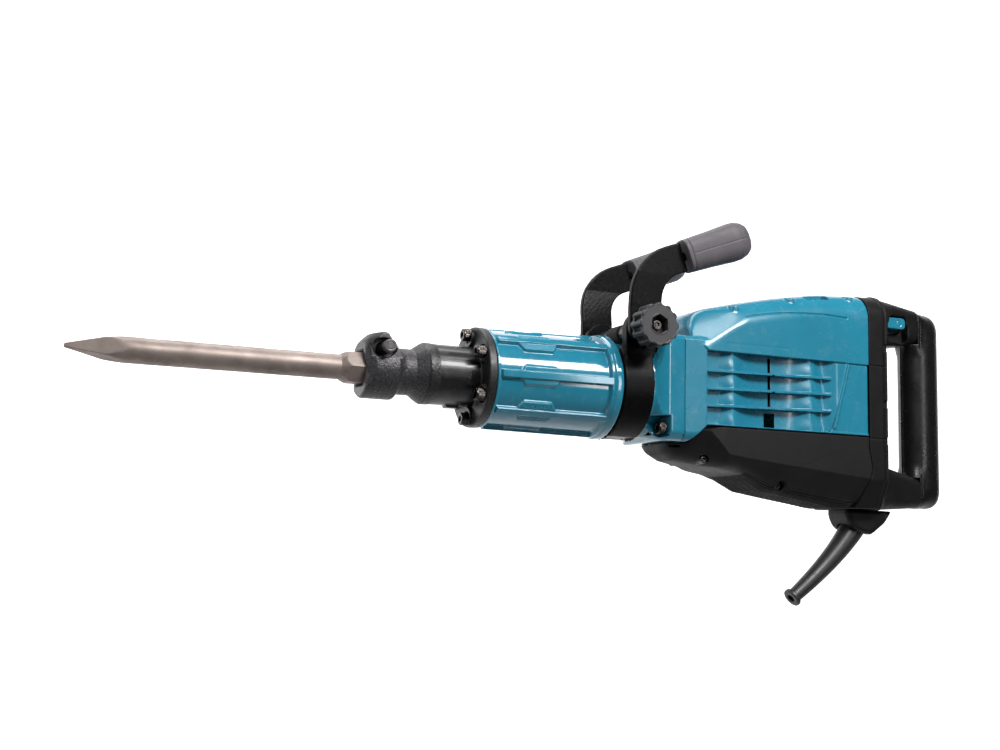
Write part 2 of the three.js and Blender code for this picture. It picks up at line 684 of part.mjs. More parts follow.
function guardPath(r0, r1) {
  const line = new THREE.QuadraticBezierCurve3(
    new THREE.Vector3(688, 0, -146), new THREE.Vector3(659, 0, -193), GUARD_END,
  );
  const steps = 6;
  const rings = [];
  for (let i = 0; i <= steps; i += 1) {
    const t = i / steps;
    const centre = line.getPoint(t);
    const along = line.getTangent(t);
    const side = new THREE.Vector3(0, 1, 0);
    const up = new THREE.Vector3().crossVectors(along, side);
    const radius = r0 + (r1 - r0) * t;
    rings.push(arc(0, 0, radius, 0, 330, 11).map(([a, b]) => (
      centre.clone().addScaledVector(side, a).addScaledVector(up, b)
    )));
  }
  return loft(rings);
}

function cordGuard() {
  const along = new THREE.Vector3(-76, 0, -57).normalize();
  const turn = new THREE.Quaternion().setFromUnitVectors(new THREE.Vector3(0, 1, 0), along);
  const place = new THREE.Matrix4().compose(GUARD_END, turn, new THREE.Vector3(1, 1, 1));
  const lipProfile = [[-7, 0], [-7, 9], [-4, 12.5], [-1, 12.5], [0.5, 11], [0.5, 0]];
  const lip = turned(lipProfile, 20).applyMatrix4(place);
  const mouth = turned(rodProfile(-24, 2, 5), 16).applyMatrix4(place);
  return cut(join(guardPath(17, 9), lip), mouth);
}

// ---------------------------------------------------------------- assembly
const front = new THREE.Group();
front.name = 'front_end';
tool.add(front);
add(front, 'bull_point_chisel', bullPoint(), 'steel');
add(front, 'tool_holder', toolHolder(), 'blackSteel');
add(front, 'retainer_pin', retainerPin(), 'steel', [PIN_X, 0, PIN_Z]);
const flangeBolt = socketBolt(30);
boltCircle((y, z, number) => (
  add(front, `flange_bolt_${number}`, flangeBolt.clone(), 'blackSteel', [FLANGE_X - BOLT_HEAD_T - GAP, y, z])
));

const percussion = new THREE.Group();
percussion.name = 'percussion_unit';
tool.add(percussion);
add(percussion, 'barrel_housing', barrelHousing(), 'tealPaint');
add(percussion, 'impact_bolt', impactBolt(), 'steel');
add(percussion, 'impact_bolt_bushing', tubeX(151, 175, 14.4, 26, 24), 'castIron');
add(percussion, 'cylinder_liner', tubeX(150, 354, LINER_R, 31, 28), 'steel');
add(percussion, 'striker', striker(), 'steel');
add(percussion, 'striker_o_ring', tubeX(221.4, 225.6, SEAL_R + GAP, PISTON_R, 24), 'rubber');
add(percussion, 'piston', piston(), 'aluminium');
add(percussion, 'piston_o_ring',
  tubeX(WRIST_X - 18.6, WRIST_X - 14.4, SEAL_R + GAP, PISTON_R, 24), 'rubber');
add(percussion, 'wrist_pin', rodZ(-21, 21, WRIST_PIN_R, 0, 0, 16), 'steel', [WRIST_X, 0, 0]);
add(percussion, 'connecting_rod', connectingRod(), 'steel');
add(percussion, 'crank_pin', rodZ(-7.3, 7, CRANK_PIN_R, 0, 0, 16), 'steel', [CRANK_X + CRANK_THROW, 0, 0]);
add(percussion, 'counterweight_ring', counterweight(), 'castIron');
add(percussion, 'counterweight_spring_front', coilX(163, 214.6, 38.5, 1.6, 4), 'steel');
add(percussion, 'counterweight_spring_rear', coilX(255.4, 307, 38.5, 1.6, 4), 'steel');

const drive = new THREE.Group();
drive.name = 'drive_train';
tool.add(drive);
add(drive, 'crankcase', crankcase(), 'tealPaint');
const caseBolt = socketBolt(18);
for (const [side, name] of [[-1, 'left'], [1, 'right']]) {
  const place = [360.5, side * CASE_BOLT_YZ, -CASE_BOLT_YZ];
  add(drive, `crankcase_bolt_${name}`, caseBolt.clone(), 'blackSteel', place);
}
add(drive, 'crankshaft', crankshaft(), 'steel', [CRANK_X, 0, 0]);
add(drive, 'crank_bearing',
  alongZ(turned(tubeProfile(-40, -28, JOURNAL_R + GAP, 22), 20)), 'steel', [CRANK_X, 0, 0]);
add(drive, 'crank_gear', boredGear(CRANK_GEAR, ...CRANK_GEAR_Z, JOURNAL_R + GAP), 'steel', [CRANK_X, 0, 0]);
add(drive, 'intermediate_shaft', join(
  gear(IDLER_PINION, ...CRANK_GEAR_Z),
  rodZ(-78, -42, SHAFT_R, 0, 0, 16),
), 'steel', [IDLER_X, 0, 0]);
add(drive, 'intermediate_gear',
  boredGear(IDLER_GEAR, ...IDLER_GEAR_Z, SHAFT_R + GAP), 'steel', [IDLER_X, 0, 0]);

const motor = new THREE.Group();
motor.name = 'motor';
motor.position.set(MOTOR_X, 0, 0);
tool.add(motor);
add(motor, 'armature_shaft', join(
  gear(MOTOR_PINION, ...IDLER_GEAR_Z, Math.PI / MOTOR_PINION.teeth),
  rodZ(-67, 106, SHAFT_R, 0, 0, 16),
), 'steel');
add(motor, 'armature_core', alongZ(turned([
  [-24, SHAFT_R + GAP], [-24, 24], [-15, 28], [-14, 33.5],
  [62, 33.5], [63, 28], [71, 24], [71, SHAFT_R + GAP], [-24, SHAFT_R + GAP],
], 24)), 'copper');
add(motor, 'commutator', alongZ(turned(tubeProfile(75, 95, SHAFT_R + GAP, 16), 18)), 'copper');
add(motor, 'stator', alongZ(turned(tubeProfile(-14, 62, 34.3, 46), 24)), 'castIron');
add(motor, 'upper_motor_bearing', alongZ(turned(tubeProfile(98, 105, SHAFT_R + GAP, 14), 16)), 'steel');
add(motor, 'lower_motor_bearing', alongZ(turned(tubeProfile(-63, -56, SHAFT_R + GAP, 14), 16)), 'steel');

function coolingFan() {
  const hub = alongZ(turned(tubeProfile(-41, -25, SHAFT_R + GAP, 12), 16));
  const disc = alongZ(turned(tubeProfile(-41, -38, 11, 41), 24));
  const blades = [];
  for (let k = 0; k < 9; k += 1) {
    blades.push(box(11, 40, -1.2, 1.2, -39, -27).rotateZ((k * 2 * Math.PI) / 9));
  }
  return join(hub, disc, ...blades);
}
add(motor, 'cooling_fan', coolingFan(), 'blackPlastic');
for (const [side, name] of [[-1, 'left'], [1, 'right']]) {
  const brush = box(-4, 4, 16.5, 38, 79, 91);
  const holder = cut(box(-7, 7, 20, 52, 76, 94), box(-4.4, 4.4, 15, 48, 78.6, 91.4));
  const turn = side < 0 ? Math.PI : 0;
  add(motor, `carbon_brush_${name}`, brush, 'castIron', [0, 0, 0], [0, 0, turn]);
  add(motor, `brush_holder_${name}`, holder, 'brass', [0, 0, 0], [0, 0, turn]);
}

const sideHandle = new THREE.Group();
sideHandle.name = 'side_handle';
tool.add(sideHandle);
add(sideHandle, 'clamp_band', clampBand(), 'blackSteel');
add(sideHandle, 'clamp_spacer',
  turned(tubeProfile(-43.6, 43.6, SHAFT_R + GAP, 9.5), 16), 'steel', [PIVOT_X, 0, PIVOT_Z]);
add(sideHandle, 'clamp_bolt', clampBolt(), 'steel', [PIVOT_X, 0, PIVOT_Z]);
add(sideHandle, 'clamp_knob', starKnob(), 'blackPlastic', [PIVOT_X, 0, PIVOT_Z]);
add(sideHandle, 'handle_arm_left', handleArm(-1), 'blackSteel');
add(sideHandle, 'handle_arm_right', handleArm(1), 'blackSteel');
add(sideHandle, 'handle_grip_left', handleGrip(-1), 'rubber');
add(sideHandle, 'handle_grip_right', handleGrip(1), 'rubber');

const housing = new THREE.Group();
housing.name = 'housing';
tool.add(housing);
add(housing, 'motor_hood', motorHood(), 'tealPlastic');
add(housing, 'lower_cover', lowerCover(), 'blackPlastic');
add(housing, 'rear_housing', rearHousing(), 'blackPlastic');
add(housing, 'rear_grip', rearGrip(), 'rubber');
add(housing, 'switch_lever', box(719, 750, -33, 33, 106, 121), 'tealPlastic');
add(housing, 'speed_dial', rodY(55, 63, 14, 0, 0, 16), 'blackPlastic', [678, 0, 20]);
add(housing, 'control_board', box(600, 606, -44, 44, -40, 60), 'board');
add(housing, 'cord_gland', cordGland(), 'blackPlastic');
add(housing, 'cord_guard', cordGuard(), 'rubber');
add(housing, 'switch_body', box(668, 688, -20, 20, 98, 126), 'blackPlastic');

// The origin sits under the middle of the bounding box, so the whole tool is shifted there.
hammer.updateMatrixWorld(true);
const bounds = new THREE.Box3().setFromObject(hammer, true);
tool.position.set(-FRAME_X, 0, -bounds.min.z);

export default hammer;
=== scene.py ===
"""Looks for the electric demolition hammer.

Shapes are written in tool millimetres, as in the CAD source: X runs backwards from the nose
along the barrel axis, Y is across the tool and Z is up. Each fine piece is a signed distance
function that skin() turns into a mesh, and ends in the row frame, in metres.
"""
import json
import math

import bmesh
import bpy
import numpy as np
from mathutils import Matrix, Vector


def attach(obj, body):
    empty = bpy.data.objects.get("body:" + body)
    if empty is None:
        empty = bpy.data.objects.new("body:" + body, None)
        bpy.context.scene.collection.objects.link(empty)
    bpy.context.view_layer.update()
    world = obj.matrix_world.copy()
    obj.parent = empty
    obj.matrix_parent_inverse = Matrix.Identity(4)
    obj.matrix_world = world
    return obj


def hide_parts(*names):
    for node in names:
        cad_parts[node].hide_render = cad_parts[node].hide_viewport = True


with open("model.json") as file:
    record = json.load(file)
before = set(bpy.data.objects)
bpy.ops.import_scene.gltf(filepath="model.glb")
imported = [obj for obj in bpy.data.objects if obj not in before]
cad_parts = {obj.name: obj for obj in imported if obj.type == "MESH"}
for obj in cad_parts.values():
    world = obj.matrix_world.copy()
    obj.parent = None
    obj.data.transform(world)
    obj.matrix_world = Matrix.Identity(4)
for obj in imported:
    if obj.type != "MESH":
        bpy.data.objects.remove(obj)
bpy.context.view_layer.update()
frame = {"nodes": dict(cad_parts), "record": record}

# ------------------------------------------------------------------ driving dimensions (mm)
ORIGIN_X = 251.5                # row frame origin, in tool coordinates
ORIGIN_Z = -258.4
PIN_X, PIN_Z, PIN_R = 23.0, 22.0, 7.3
FLANGE_X, FLANGE_R, FLANGE_T = 137.0, 58.5, 10.0
BOLT_CIRCLE_R, BOLT_COUNT = 49.0, 6
BARREL_X0, BARREL_X1 = 147.35, 307.0
RIB_COUNT = 8
BAND_X0, BAND_X1, NECK_R = 308.0, 347.0, 55.0
PIVOT_X, PIVOT_Z = 333.0, 66.0
BORE_R = 6.4                    # bore for the clamp bolt
SLEEVE_HALF = 14.0              # half length of the dull sleeve on the spacer tube
ARM_W, ARM_T, ARM_Y_LOW, ARM_Y_HIGH = 42.0, 8.0, 61.0, 66.0
KNOB_Y0, KNOB_Y1 = 65.5, 97.5
GRIP_START_X, GRIP_START_Z, GRIP_LENGTH = 384.0, 157.0, 89.0
GRIP_RISE, GRIP_SPLAY = math.radians(20.4), math.radians(8)
HOOD_X0, HOOD_X1, HOOD_Z0, HOOD_W = 390.2, 662.0, -44.0, 62.0
PANEL_Z = 48.0                  # seam between the upper hood and the louvre panel
SHELL_X1 = 695.0
GRIP_X0, GRIP_X1, GRIP_JOINT_X = 763.0, 820.0, 776.0
CASE_BOLT_Y, CASE_BOLT_Z = 46, -49
GUARD_START, GUARD_BEND, GUARD_END = (688, 0, -146), (659, 0, -193), (584, 0, -249)
SIDES = (("left", -1), ("right", 1))


# ------------------------------------------------------------------ distance functions
# p is a tuple of three arrays (x, y, z); each function gives the distance to a surface,
# negative inside.
def length2(a, b):
    return np.sqrt(a * a + b * b)


def outside(*gaps):
    """Distance to the meeting of slabs, from the gap to each."""
    total = sum(np.maximum(g, 0) ** 2 for g in gaps)
    return np.sqrt(total) + np.minimum(np.maximum.reduce(gaps), 0)


def box(p, low, high, edge=0.0):
    gaps = [np.abs(v - (a + b) / 2) - ((b - a) / 2 - edge) for v, a, b in zip(p, low, high)]
    return outside(*gaps) - edge


def slab(v, a, b):
    return np.abs(v - (a + b) / 2) - (b - a) / 2


def segment_gap(u, v, a, b):
    """Squared distance to one straight segment."""
    du, dv = b[0] - a[0], b[1] - a[1]
    t = np.clip(((u - a[0]) * du + (v - a[1]) * dv) / (du * du + dv * dv), 0, 1)
    return (u - a[0] - t * du) ** 2 + (v - a[1] - t * dv) ** 2


def crease(u, v, line):
    """Distance to a polyline in two of the coordinates."""
    return np.sqrt(np.minimum.reduce([segment_gap(u, v, a, b) for a, b in zip(line, line[1:])]))


def polygon(u, v, points):
    """Signed distance to a closed outline in two of the coordinates."""
    closed = points + points[:1]
    inside = np.zeros(np.shape(u), bool)
    for (u0, v0), (u1, v1) in zip(closed, closed[1:]):
        if v0 != v1:
            inside ^= ((v0 <= v) != (v1 <= v)) & (u < u0 + (v - v0) * (u1 - u0) / (v1 - v0))
    return np.where(inside, -1, 1) * crease(u, v, closed)


def prism(flat, w, a, b, edge=0.0):
    """A flat outline's distance carried from a to b along w."""
    return outside(flat + edge, slab(w, a + edge, b - edge)) - edge


def rod(p, axis, a, b, r, centre=(0, 0), edge=0.0):
    w = p[axis]
    u, v = [p[i] for i in range(3) if i != axis]
    return prism(length2(u - centre[0], v - centre[1]) - r, w, a, b, edge)


def turned(p, profile, edge=0.0):
    """A piece turned about the barrel axis, from (x, radius) points that start and end at radius 0."""
    points = [(x, r if r > 0 else -60) for x, r in profile]
    return polygon(p[0], length2(p[1], p[2]), points) - edge


def hexagon(u, v, across_flats, turn=0.0):
    angles = [turn + k * math.pi / 3 for k in range(3)]
    flats = [np.abs(u * math.cos(a) + v * math.sin(a)) for a in angles]
    return np.maximum.reduce(flats) - across_flats / 2


def join(a, b, blend=0.0):
    if np.ndim(blend) == 0 and blend <= 0:
        return np.minimum(a, b)
    h = np.maximum(blend - np.abs(a - b), 0) / blend
    return np.minimum(a, b) - h * h * blend / 4


def common(a, b, blend=0.0):
    return -join(-a, -b, blend)


def cut(a, b, blend=0.0):
    return common(a, -b, blend)


def step(v, a, b):
    """0 before a, 1 after b, smooth between."""
    t = np.clip((v - a) / (b - a), 0, 1)
    return t * t * (3 - 2 * t)


def bump(v, centre, width):
    return np.exp(-((v - centre) / width) ** 2)


def section_distance(y, z, half, low, high, r_top, r_low):
    """Distance to a section that is symmetric in y, with its own corner radii at the top and the bottom."""
    middle = (low + high) / 2
    r = np.where(z > middle, r_top, r_low)
    return outside(np.abs(y) - half + r, np.abs(z - middle) - (high - low) / 2 + r) - r


def line_height(line, x):
    """Height of a polyline at x."""
    return np.interp(x, [v[0] for v in line], [v[1] for v in line])


def arc(cx, cz, r, start, end, count):
    """Points on a circle, from start to end in degrees."""
    angles = [math.radians(start + (end - start) * k / count) for k in range(count + 1)]
    return [(cx + r * math.cos(a), cz + r * math.sin(a)) for a in angles]


def within(mask, values, change, *arrays):
    """Values with change(values, *arrays) applied to the masked ones only."""
    values = np.array(values, float)
    if np.any(mask):
        values[mask] = change(values[mask], *[a[mask] for a in arrays])
    return values


def grain(x, y, z, pitch, depth):
    a = np.sin(x * 6.3 / pitch + 1.7 * np.sin(y * 4.1 / pitch))
    b = np.sin(z * 5.3 / pitch + 1.3 * np.sin(x * 3.7 / pitch + 2.0))
    c = np.sin(y * 5.9 / pitch + 1.9 * np.sin(z * 4.4 / pitch + 1.0))
    return depth * (a * b + b * c + c * a) / 2


def roughened(body, p, pitch, depth, share=1.0):
    """A little unevenness on the surface, as forging and casting leave."""
    share = share * np.ones(np.shape(body))
    near = (np.abs(body) < 2) & (share > 0)
    return within(near, body, lambda d, x, y, z, f: d + f * grain(x, y, z, pitch, depth), *p, share)


# ------------------------------------------------------------------ from distance to mesh
def call(sdf, points):
    return sdf((points[:, 0], points[:, 1], points[:, 2]))


def gradient(sdf, points, h=0.15):
    slopes = []
    for axis in range(3):
        shift = np.zeros(3)
        shift[axis] = h
        slopes.append(call(sdf, points + shift) - call(sdf, points - shift))
    g = np.stack(slopes, -1) / (2 * h)
    return g, np.maximum(np.linalg.norm(g, axis=1), 1e-6)


BLOCK = 8


def sample(sdf, low, high, pitch):
    """Grid of distances; blocks far from the surface only keep their sign."""
    low = np.array(low, float) - 2 * pitch
    blocks = np.ceil((np.array(high, float) + 2 * pitch - low) / (pitch * BLOCK)).astype(int)
    index = np.stack(np.meshgrid(*[np.arange(n) for n in blocks], indexing="ij"), -1).reshape(-1, 3)
    middle = call(sdf, low + (index + 0.5) * BLOCK * pitch)
    near = np.abs(middle) < BLOCK * pitch * 1.05
    values = np.empty(tuple(blocks * BLOCK + 1), np.float32)
    values[:] = 9.0
    coarse = np.where(middle < 0, -9.0, 9.0).reshape(tuple(blocks))
    values[:-1, :-1, :-1] = coarse.repeat(BLOCK, 0).repeat(BLOCK, 1).repeat(BLOCK, 2)
    local = np.stack(np.meshgrid(*[np.arange(BLOCK + 1)] * 3, indexing="ij"), -1).reshape(-1, 3)
    for start in range(0, int(near.sum()), 1500):
        group = index[near][start:start + 1500]
        points = low + (group[:, None, :] * BLOCK + local[None]) * pitch
        found = call(sdf, points.reshape(-1, 3)).reshape(-1, BLOCK + 1, BLOCK + 1, BLOCK + 1)
        for (i, j, k), cube in zip(group * BLOCK, found):
            values[i:i + BLOCK + 1, j:j + BLOCK + 1, k:k + BLOCK + 1] = cube
    return values, low


CORNERS = [(i, j, k) for i in (0, 1) for j in (0, 1) for k in (0, 1)]
EDGES = [(a, b) for a in range(8) for b in range(a + 1, 8)
         if sum(abs(u - v) for u, v in zip(CORNERS[a], CORNERS[b])) == 1]


def surface_net(values, low, pitch):
    """One vertex in each cell that the surface crosses, and one quad for each crossed grid edge."""
    inside = values < 0
    n = np.array(values.shape) - 1
    filled = sum(inside[i:i + n[0], j:j + n[1], k:k + n[2]].astype(np.uint8) for i, j, k in CORNERS)
    cells = np.argwhere((filled > 0) & (filled < 8))
    number = np.full(tuple(n), -1, np.int64)
    number[tuple(cells.T)] = np.arange(len(cells))
    depth = np.stack([values[tuple((cells + c).T)] for c in CORNERS], -1)
    total = np.zeros((len(cells), 3))
    count = np.zeros(len(cells))
    for a, b in EDGES:
        crossed = (depth[:, a] < 0) != (depth[:, b] < 0)
        t = depth[:, a] / np.where(crossed, depth[:, a] - depth[:, b], 1)
        ends = np.array([CORNERS[a], CORNERS[b]], float)
        place = ends[0] + t[:, None] * (ends[1] - ends[0])
        total += np.where(crossed[:, None], place, 0)
        count += crossed
    vertices = low + (cells + total / count[:, None]) * pitch
    quads = []
    for axis in range(3):
        shift = np.zeros(3, int)
        shift[axis] = 1
        first = inside[:inside.shape[0] - shift[0], :inside.shape[1] - shift[1], :inside.shape[2] - shift[2]]
        second = inside[shift[0]:, shift[1]:, shift[2]:]
        edges = np.argwhere(first != second)
        leaving = first[tuple(edges.T)]
        u, v = [np.eye(3, dtype=int)[(axis + k) % 3] for k in (1, 2)]
        ring = np.stack([number[tuple((edges - d).T)] for d in (u + v, v, 0 * u, u)], -1)
        if ring.size and ring.min() < 0:
            raise ValueError("the surface reaches the edge of its sampling box")
        quads.append(np.where(leaving[:, None], ring, ring[:, ::-1]))
    return vertices, np.concatenate(quads)


def to_row(points):
    return (np.asarray(points, float) - [ORIGIN_X, 0, ORIGIN_Z]) / 1000


def from_row(points):
    return np.asarray(points, float) * 1000 + [ORIGIN_X, 0, ORIGIN_Z]


def coordinates(mesh):
    found = np.empty(len(mesh.vertices) * 3)
    mesh.vertices.foreach_get("co", found)
    return found.reshape(-1, 3)


def mesh_object(name, vertices, quads):
    mesh = bpy.data.meshes.new(name)
    mesh.vertices.add(len(vertices))
    mesh.vertices.foreach_set("co", vertices.astype(np.float32).ravel())
    mesh.loops.add(quads.size)
    mesh.loops.foreach_set("vertex_index", quads.astype(np.int32).ravel())
    mesh.polygons.add(len(quads))
    mesh.polygons.foreach_set("loop_start", np.arange(0, quads.size, 4, dtype=np.int32))
    mesh.update(calc_edges=True)
    obj = bpy.data.objects.new(name, mesh)
    bpy.context.scene.collection.objects.link(obj)
    return obj


def skin(name, sdf, low, high, pitch=1.0, keep=0.4):
    """Object whose surface is where sdf is zero. keep is the share of its faces that stay."""
    values, origin = sample(sdf, low, high, pitch)
    vertices, quads = surface_net(values, origin, pitch)
    for _ in range(2):
        g, size = gradient(sdf, vertices)
        move = np.clip(call(sdf, vertices) / size, -0.5 * pitch, 0.5 * pitch)
        vertices = vertices - (move / size)[:, None] * g
    obj = mesh_object(name, to_row(vertices), quads)
    if keep < 1:
        modifier = obj.modifiers.new("fewer_faces", "DECIMATE")
        modifier.ratio = keep
        bpy.context.view_layer.update()
        reduced = obj.evaluated_get(bpy.context.evaluated_depsgraph_get())
        mesh = bpy.data.meshes.new_from_object(reduced)
        obj.modifiers.clear()
        old = obj.data
        obj.data = mesh
        bpy.data.meshes.remove(old)
    smooth_from(obj, sdf)
    return obj


def smooth_from(obj, sdf):
    """Shading normals from the distance function's own slope."""
    mesh = obj.data
    mesh.polygons.foreach_set("use_smooth", [True] * len(mesh.polygons))
    g, size = gradient(sdf, from_row(coordinates(mesh)), 0.3)
    mesh.normals_split_custom_set_from_vertices((g / size[:, None]).tolist())


def face_places(obj):
    """Centre in tool millimetres and normal of each face."""
    faces = obj.data.polygons
    centres, normals = np.empty(len(faces) * 3), np.empty(len(faces) * 3)
    faces.foreach_get("center", centres)
    faces.foreach_get("normal", normals)
    return from_row(centres.reshape(-1, 3)), normals.reshape(-1, 3)


def add_piece(name, sdf, low, high, pitch, keep, body, replaced, materials, rule=None):
    """One fine piece: its mesh and materials, the body it rides on and the CAD nodes it stands for.

    rule gives each face the number of its material, from the faces' centres and normals."""
    obj = skin(name, sdf, low, high, pitch, keep)
    for material in materials:
        obj.data.materials.append(MATERIALS[material])
    if rule is not None:
        centres, normals = face_places(obj)
        obj.data.polygons.foreach_set("material_index", rule(centres, normals).astype(np.int32))
        obj.data.update()
    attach(obj, body)
    if replaced:
        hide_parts(*replaced)


# ------------------------------------------------------------------ materials
class Paint:
    """Short hand for building one procedural material."""

    def __init__(self, name):
        self.material = bpy.data.materials.new(name)
        self.material.use_nodes = True
        self.nodes = self.material.node_tree.nodes
        self.links = self.material.node_tree.links
        self.shader = next(n for n in self.nodes if n.type == "BSDF_PRINCIPLED")
        self.place = self.nodes.new("ShaderNodeTexCoord").outputs["Object"]

    def put(self, socket, value):
        """A link from another node's output, a colour or a plain value."""
        if hasattr(value, "links"):
            self.links.new(value, socket)
        elif isinstance(value, tuple) and len(value) == 3 and socket.type == "RGBA":
            socket.default_value = (*value, 1)
        else:
            socket.default_value = value

    def node(self, kind, output, inputs, **settings):
        """A new node's output, from the values of its inputs and its own settings."""
        node = self.nodes.new("ShaderNode" + kind)
        for key, value in settings.items():
            setattr(node, key, value)
        for key, value in inputs.items():
            self.put(node.inputs[key], value)
        return node.outputs[output]

    def noise(self, scale, detail=3.0, roughness=0.55, stretch=None):
        place = self.place
        if stretch:
            place = self.node("Mapping", "Vector", {"Vector": place, "Scale": stretch})
        return self.node("TexNoise", "Fac",
                         {"Vector": place, "Scale": scale, "Detail": detail, "Roughness": roughness})

    def cells(self, scale):
        return self.node("TexVoronoi", "Distance", {"Vector": self.place, "Scale": scale})

    def ramp(self, source, stops):
        """A colour ramp between two stops."""
        node = self.nodes.new("ShaderNodeValToRGB")
        for element, (position, colour) in zip(node.color_ramp.elements, stops):
            element.position = position
            element.color = (*colour, 1)
        self.put(node.inputs["Fac"], source)
        return node.outputs["Color"]

    def spread(self, source, low, high, from_low=0.3, from_high=0.7):
        """The source's stretch from from_low to from_high, carried to low and high."""
        return self.node("MapRange", "Result", {"Value": source, "From Min": from_low, "From Max": from_high,
                                                "To Min": low, "To Max": high})

    def larger(self, a, b):
        return self.node("Math", "Value", {0: a, 1: b}, operation="MAXIMUM")

    def mix(self, factor, a, b):
        node = self.nodes.new("ShaderNodeMix")
        node.data_type = "RGBA"
        for key, value in (("Factor", factor), ("A", a), ("B", b)):
            self.put(node.inputs[key], value)
        return node.outputs["Result"]

    def bump(self, layers):
        """layers: (height source, depth in mm)."""
        normal = {}
        for source, depth in layers:
            inputs = {"Strength": 1.0, "Distance": depth / 1000, "Height": source, **normal}
            normal = {"Normal": self.node("Bump", "Normal", inputs)}
        self.put(self.shader.inputs["Normal"], normal["Normal"])

    def set(self, **values):
        for key, value in values.items():
            self.put(self.shader.inputs[key.replace("_", " ")], value)


def linear(r, g, b):
    """Linear colour from 0-255 screen values."""
    return tuple(((v / 255 + 0.055) / 1.055) ** 2.4 if v > 10 else v / 255 / 12.92 for v in (r, g, b))


def shade(colour, factor):
    return tuple(v * factor for v in colour)


def coated(name, colour, rough=(0.2, 0.3), grain=900.0, grain_depth=0.02, coat=0.6, variation=0.1):
    """Enamel or glossy plastic: faint mottling, orange peel and dusty patches."""
    paint = Paint(name)
    broad = paint.noise(14.0, 4.0)
    base = paint.mix(paint.spread(broad, 0, 1), shade(colour, 1 - variation), shade(colour, 1 + variation))
    dust = paint.spread(paint.noise(60.0, 6.0, 0.7), 0.0, 0.10, 0.55, 0.8)
    paint.set(Base_Color=paint.mix(dust, base, (0.55, 0.58, 0.58)))
    paint.set(Roughness=paint.spread(paint.noise(35.0, 5.0, 0.6), *rough))
    paint.set(Coat_Weight=coat, Coat_Roughness=0.08)
    paint.bump([(paint.noise(grain, 2.0), grain_depth), (paint.noise(120.0, 2.0), grain_depth * 2)])
    return paint.material


def moulded(name, colour, rough=(0.45, 0.62), grain=1500.0, grain_depth=0.06, variation=0.2, sheen=0.0,
            shine=0.5):
    """Grained plastic or rubber, with scuffs that are a little lighter and duller."""
    paint = Paint(name)
    broad = paint.noise(22.0, 5.0, 0.6)
    base = paint.mix(paint.spread(broad, 0, 1), shade(colour, 1 - variation), shade(colour, 1 + variation))
    scuff = paint.spread(paint.noise(90.0, 8.0, 0.75, (1.0, 1.0, 3.0)), 0.0, 0.22, 0.58, 0.78)
    paint.set(Base_Color=paint.mix(scuff, base, shade(colour, 2.6)))
    paint.set(Roughness=paint.spread(paint.noise(48.0, 6.0, 0.65), *rough), Specular_IOR_Level=shine)
    if sheen:
        paint.set(Sheen_Weight=sheen, Sheen_Roughness=0.4)
    paint.bump([(paint.cells(grain), grain_depth), (paint.noise(grain * 0.6, 2.0), grain_depth * 0.5)])
    return paint.material


def cast(name, dark, light, rough=(0.42, 0.7), grain=620.0, depth=0.35, metallic=0.6, shine=0.5):
    """Rough-cast metal under thin paint: sparkling grains on a dark ground."""
    paint = Paint(name)
    fine = paint.noise(grain, 3.0, 0.7)
    base = paint.ramp(fine, [(0.35, dark), (0.62, light)])
    paint.set(Base_Color=base, Metallic=metallic, Specular_IOR_Level=shine)
    paint.set(Roughness=paint.spread(paint.noise(grain * 0.5, 4.0, 0.6), *rough))
    paint.bump([(fine, depth), (paint.noise(grain * 0.25, 3.0), depth * 1.5)])
    return paint.material


def machined(name, dark, light, rough=(0.22, 0.4), stretch=(60.0, 1.0, 1.0), metallic=1.0, depth=0.02):
    """Ground or turned metal with fine lines and faint stains."""
    paint = Paint(name)
    lines = paint.noise(40.0, 4.0, 0.7, stretch)
    stains = paint.noise(30.0, 5.0, 0.6)
    base = paint.mix(paint.spread(lines, 0, 1), dark, light)
    stained = paint.mix(paint.spread(stains, 0, 0.5, 0.5, 0.8), base, shade(dark, 0.55))
    paint.set(Base_Color=stained, Metallic=metallic, Roughness=paint.spread(stains, *rough))
    paint.bump([(lines, depth)])
    return paint.material


TEAL = linear(29, 116, 140)

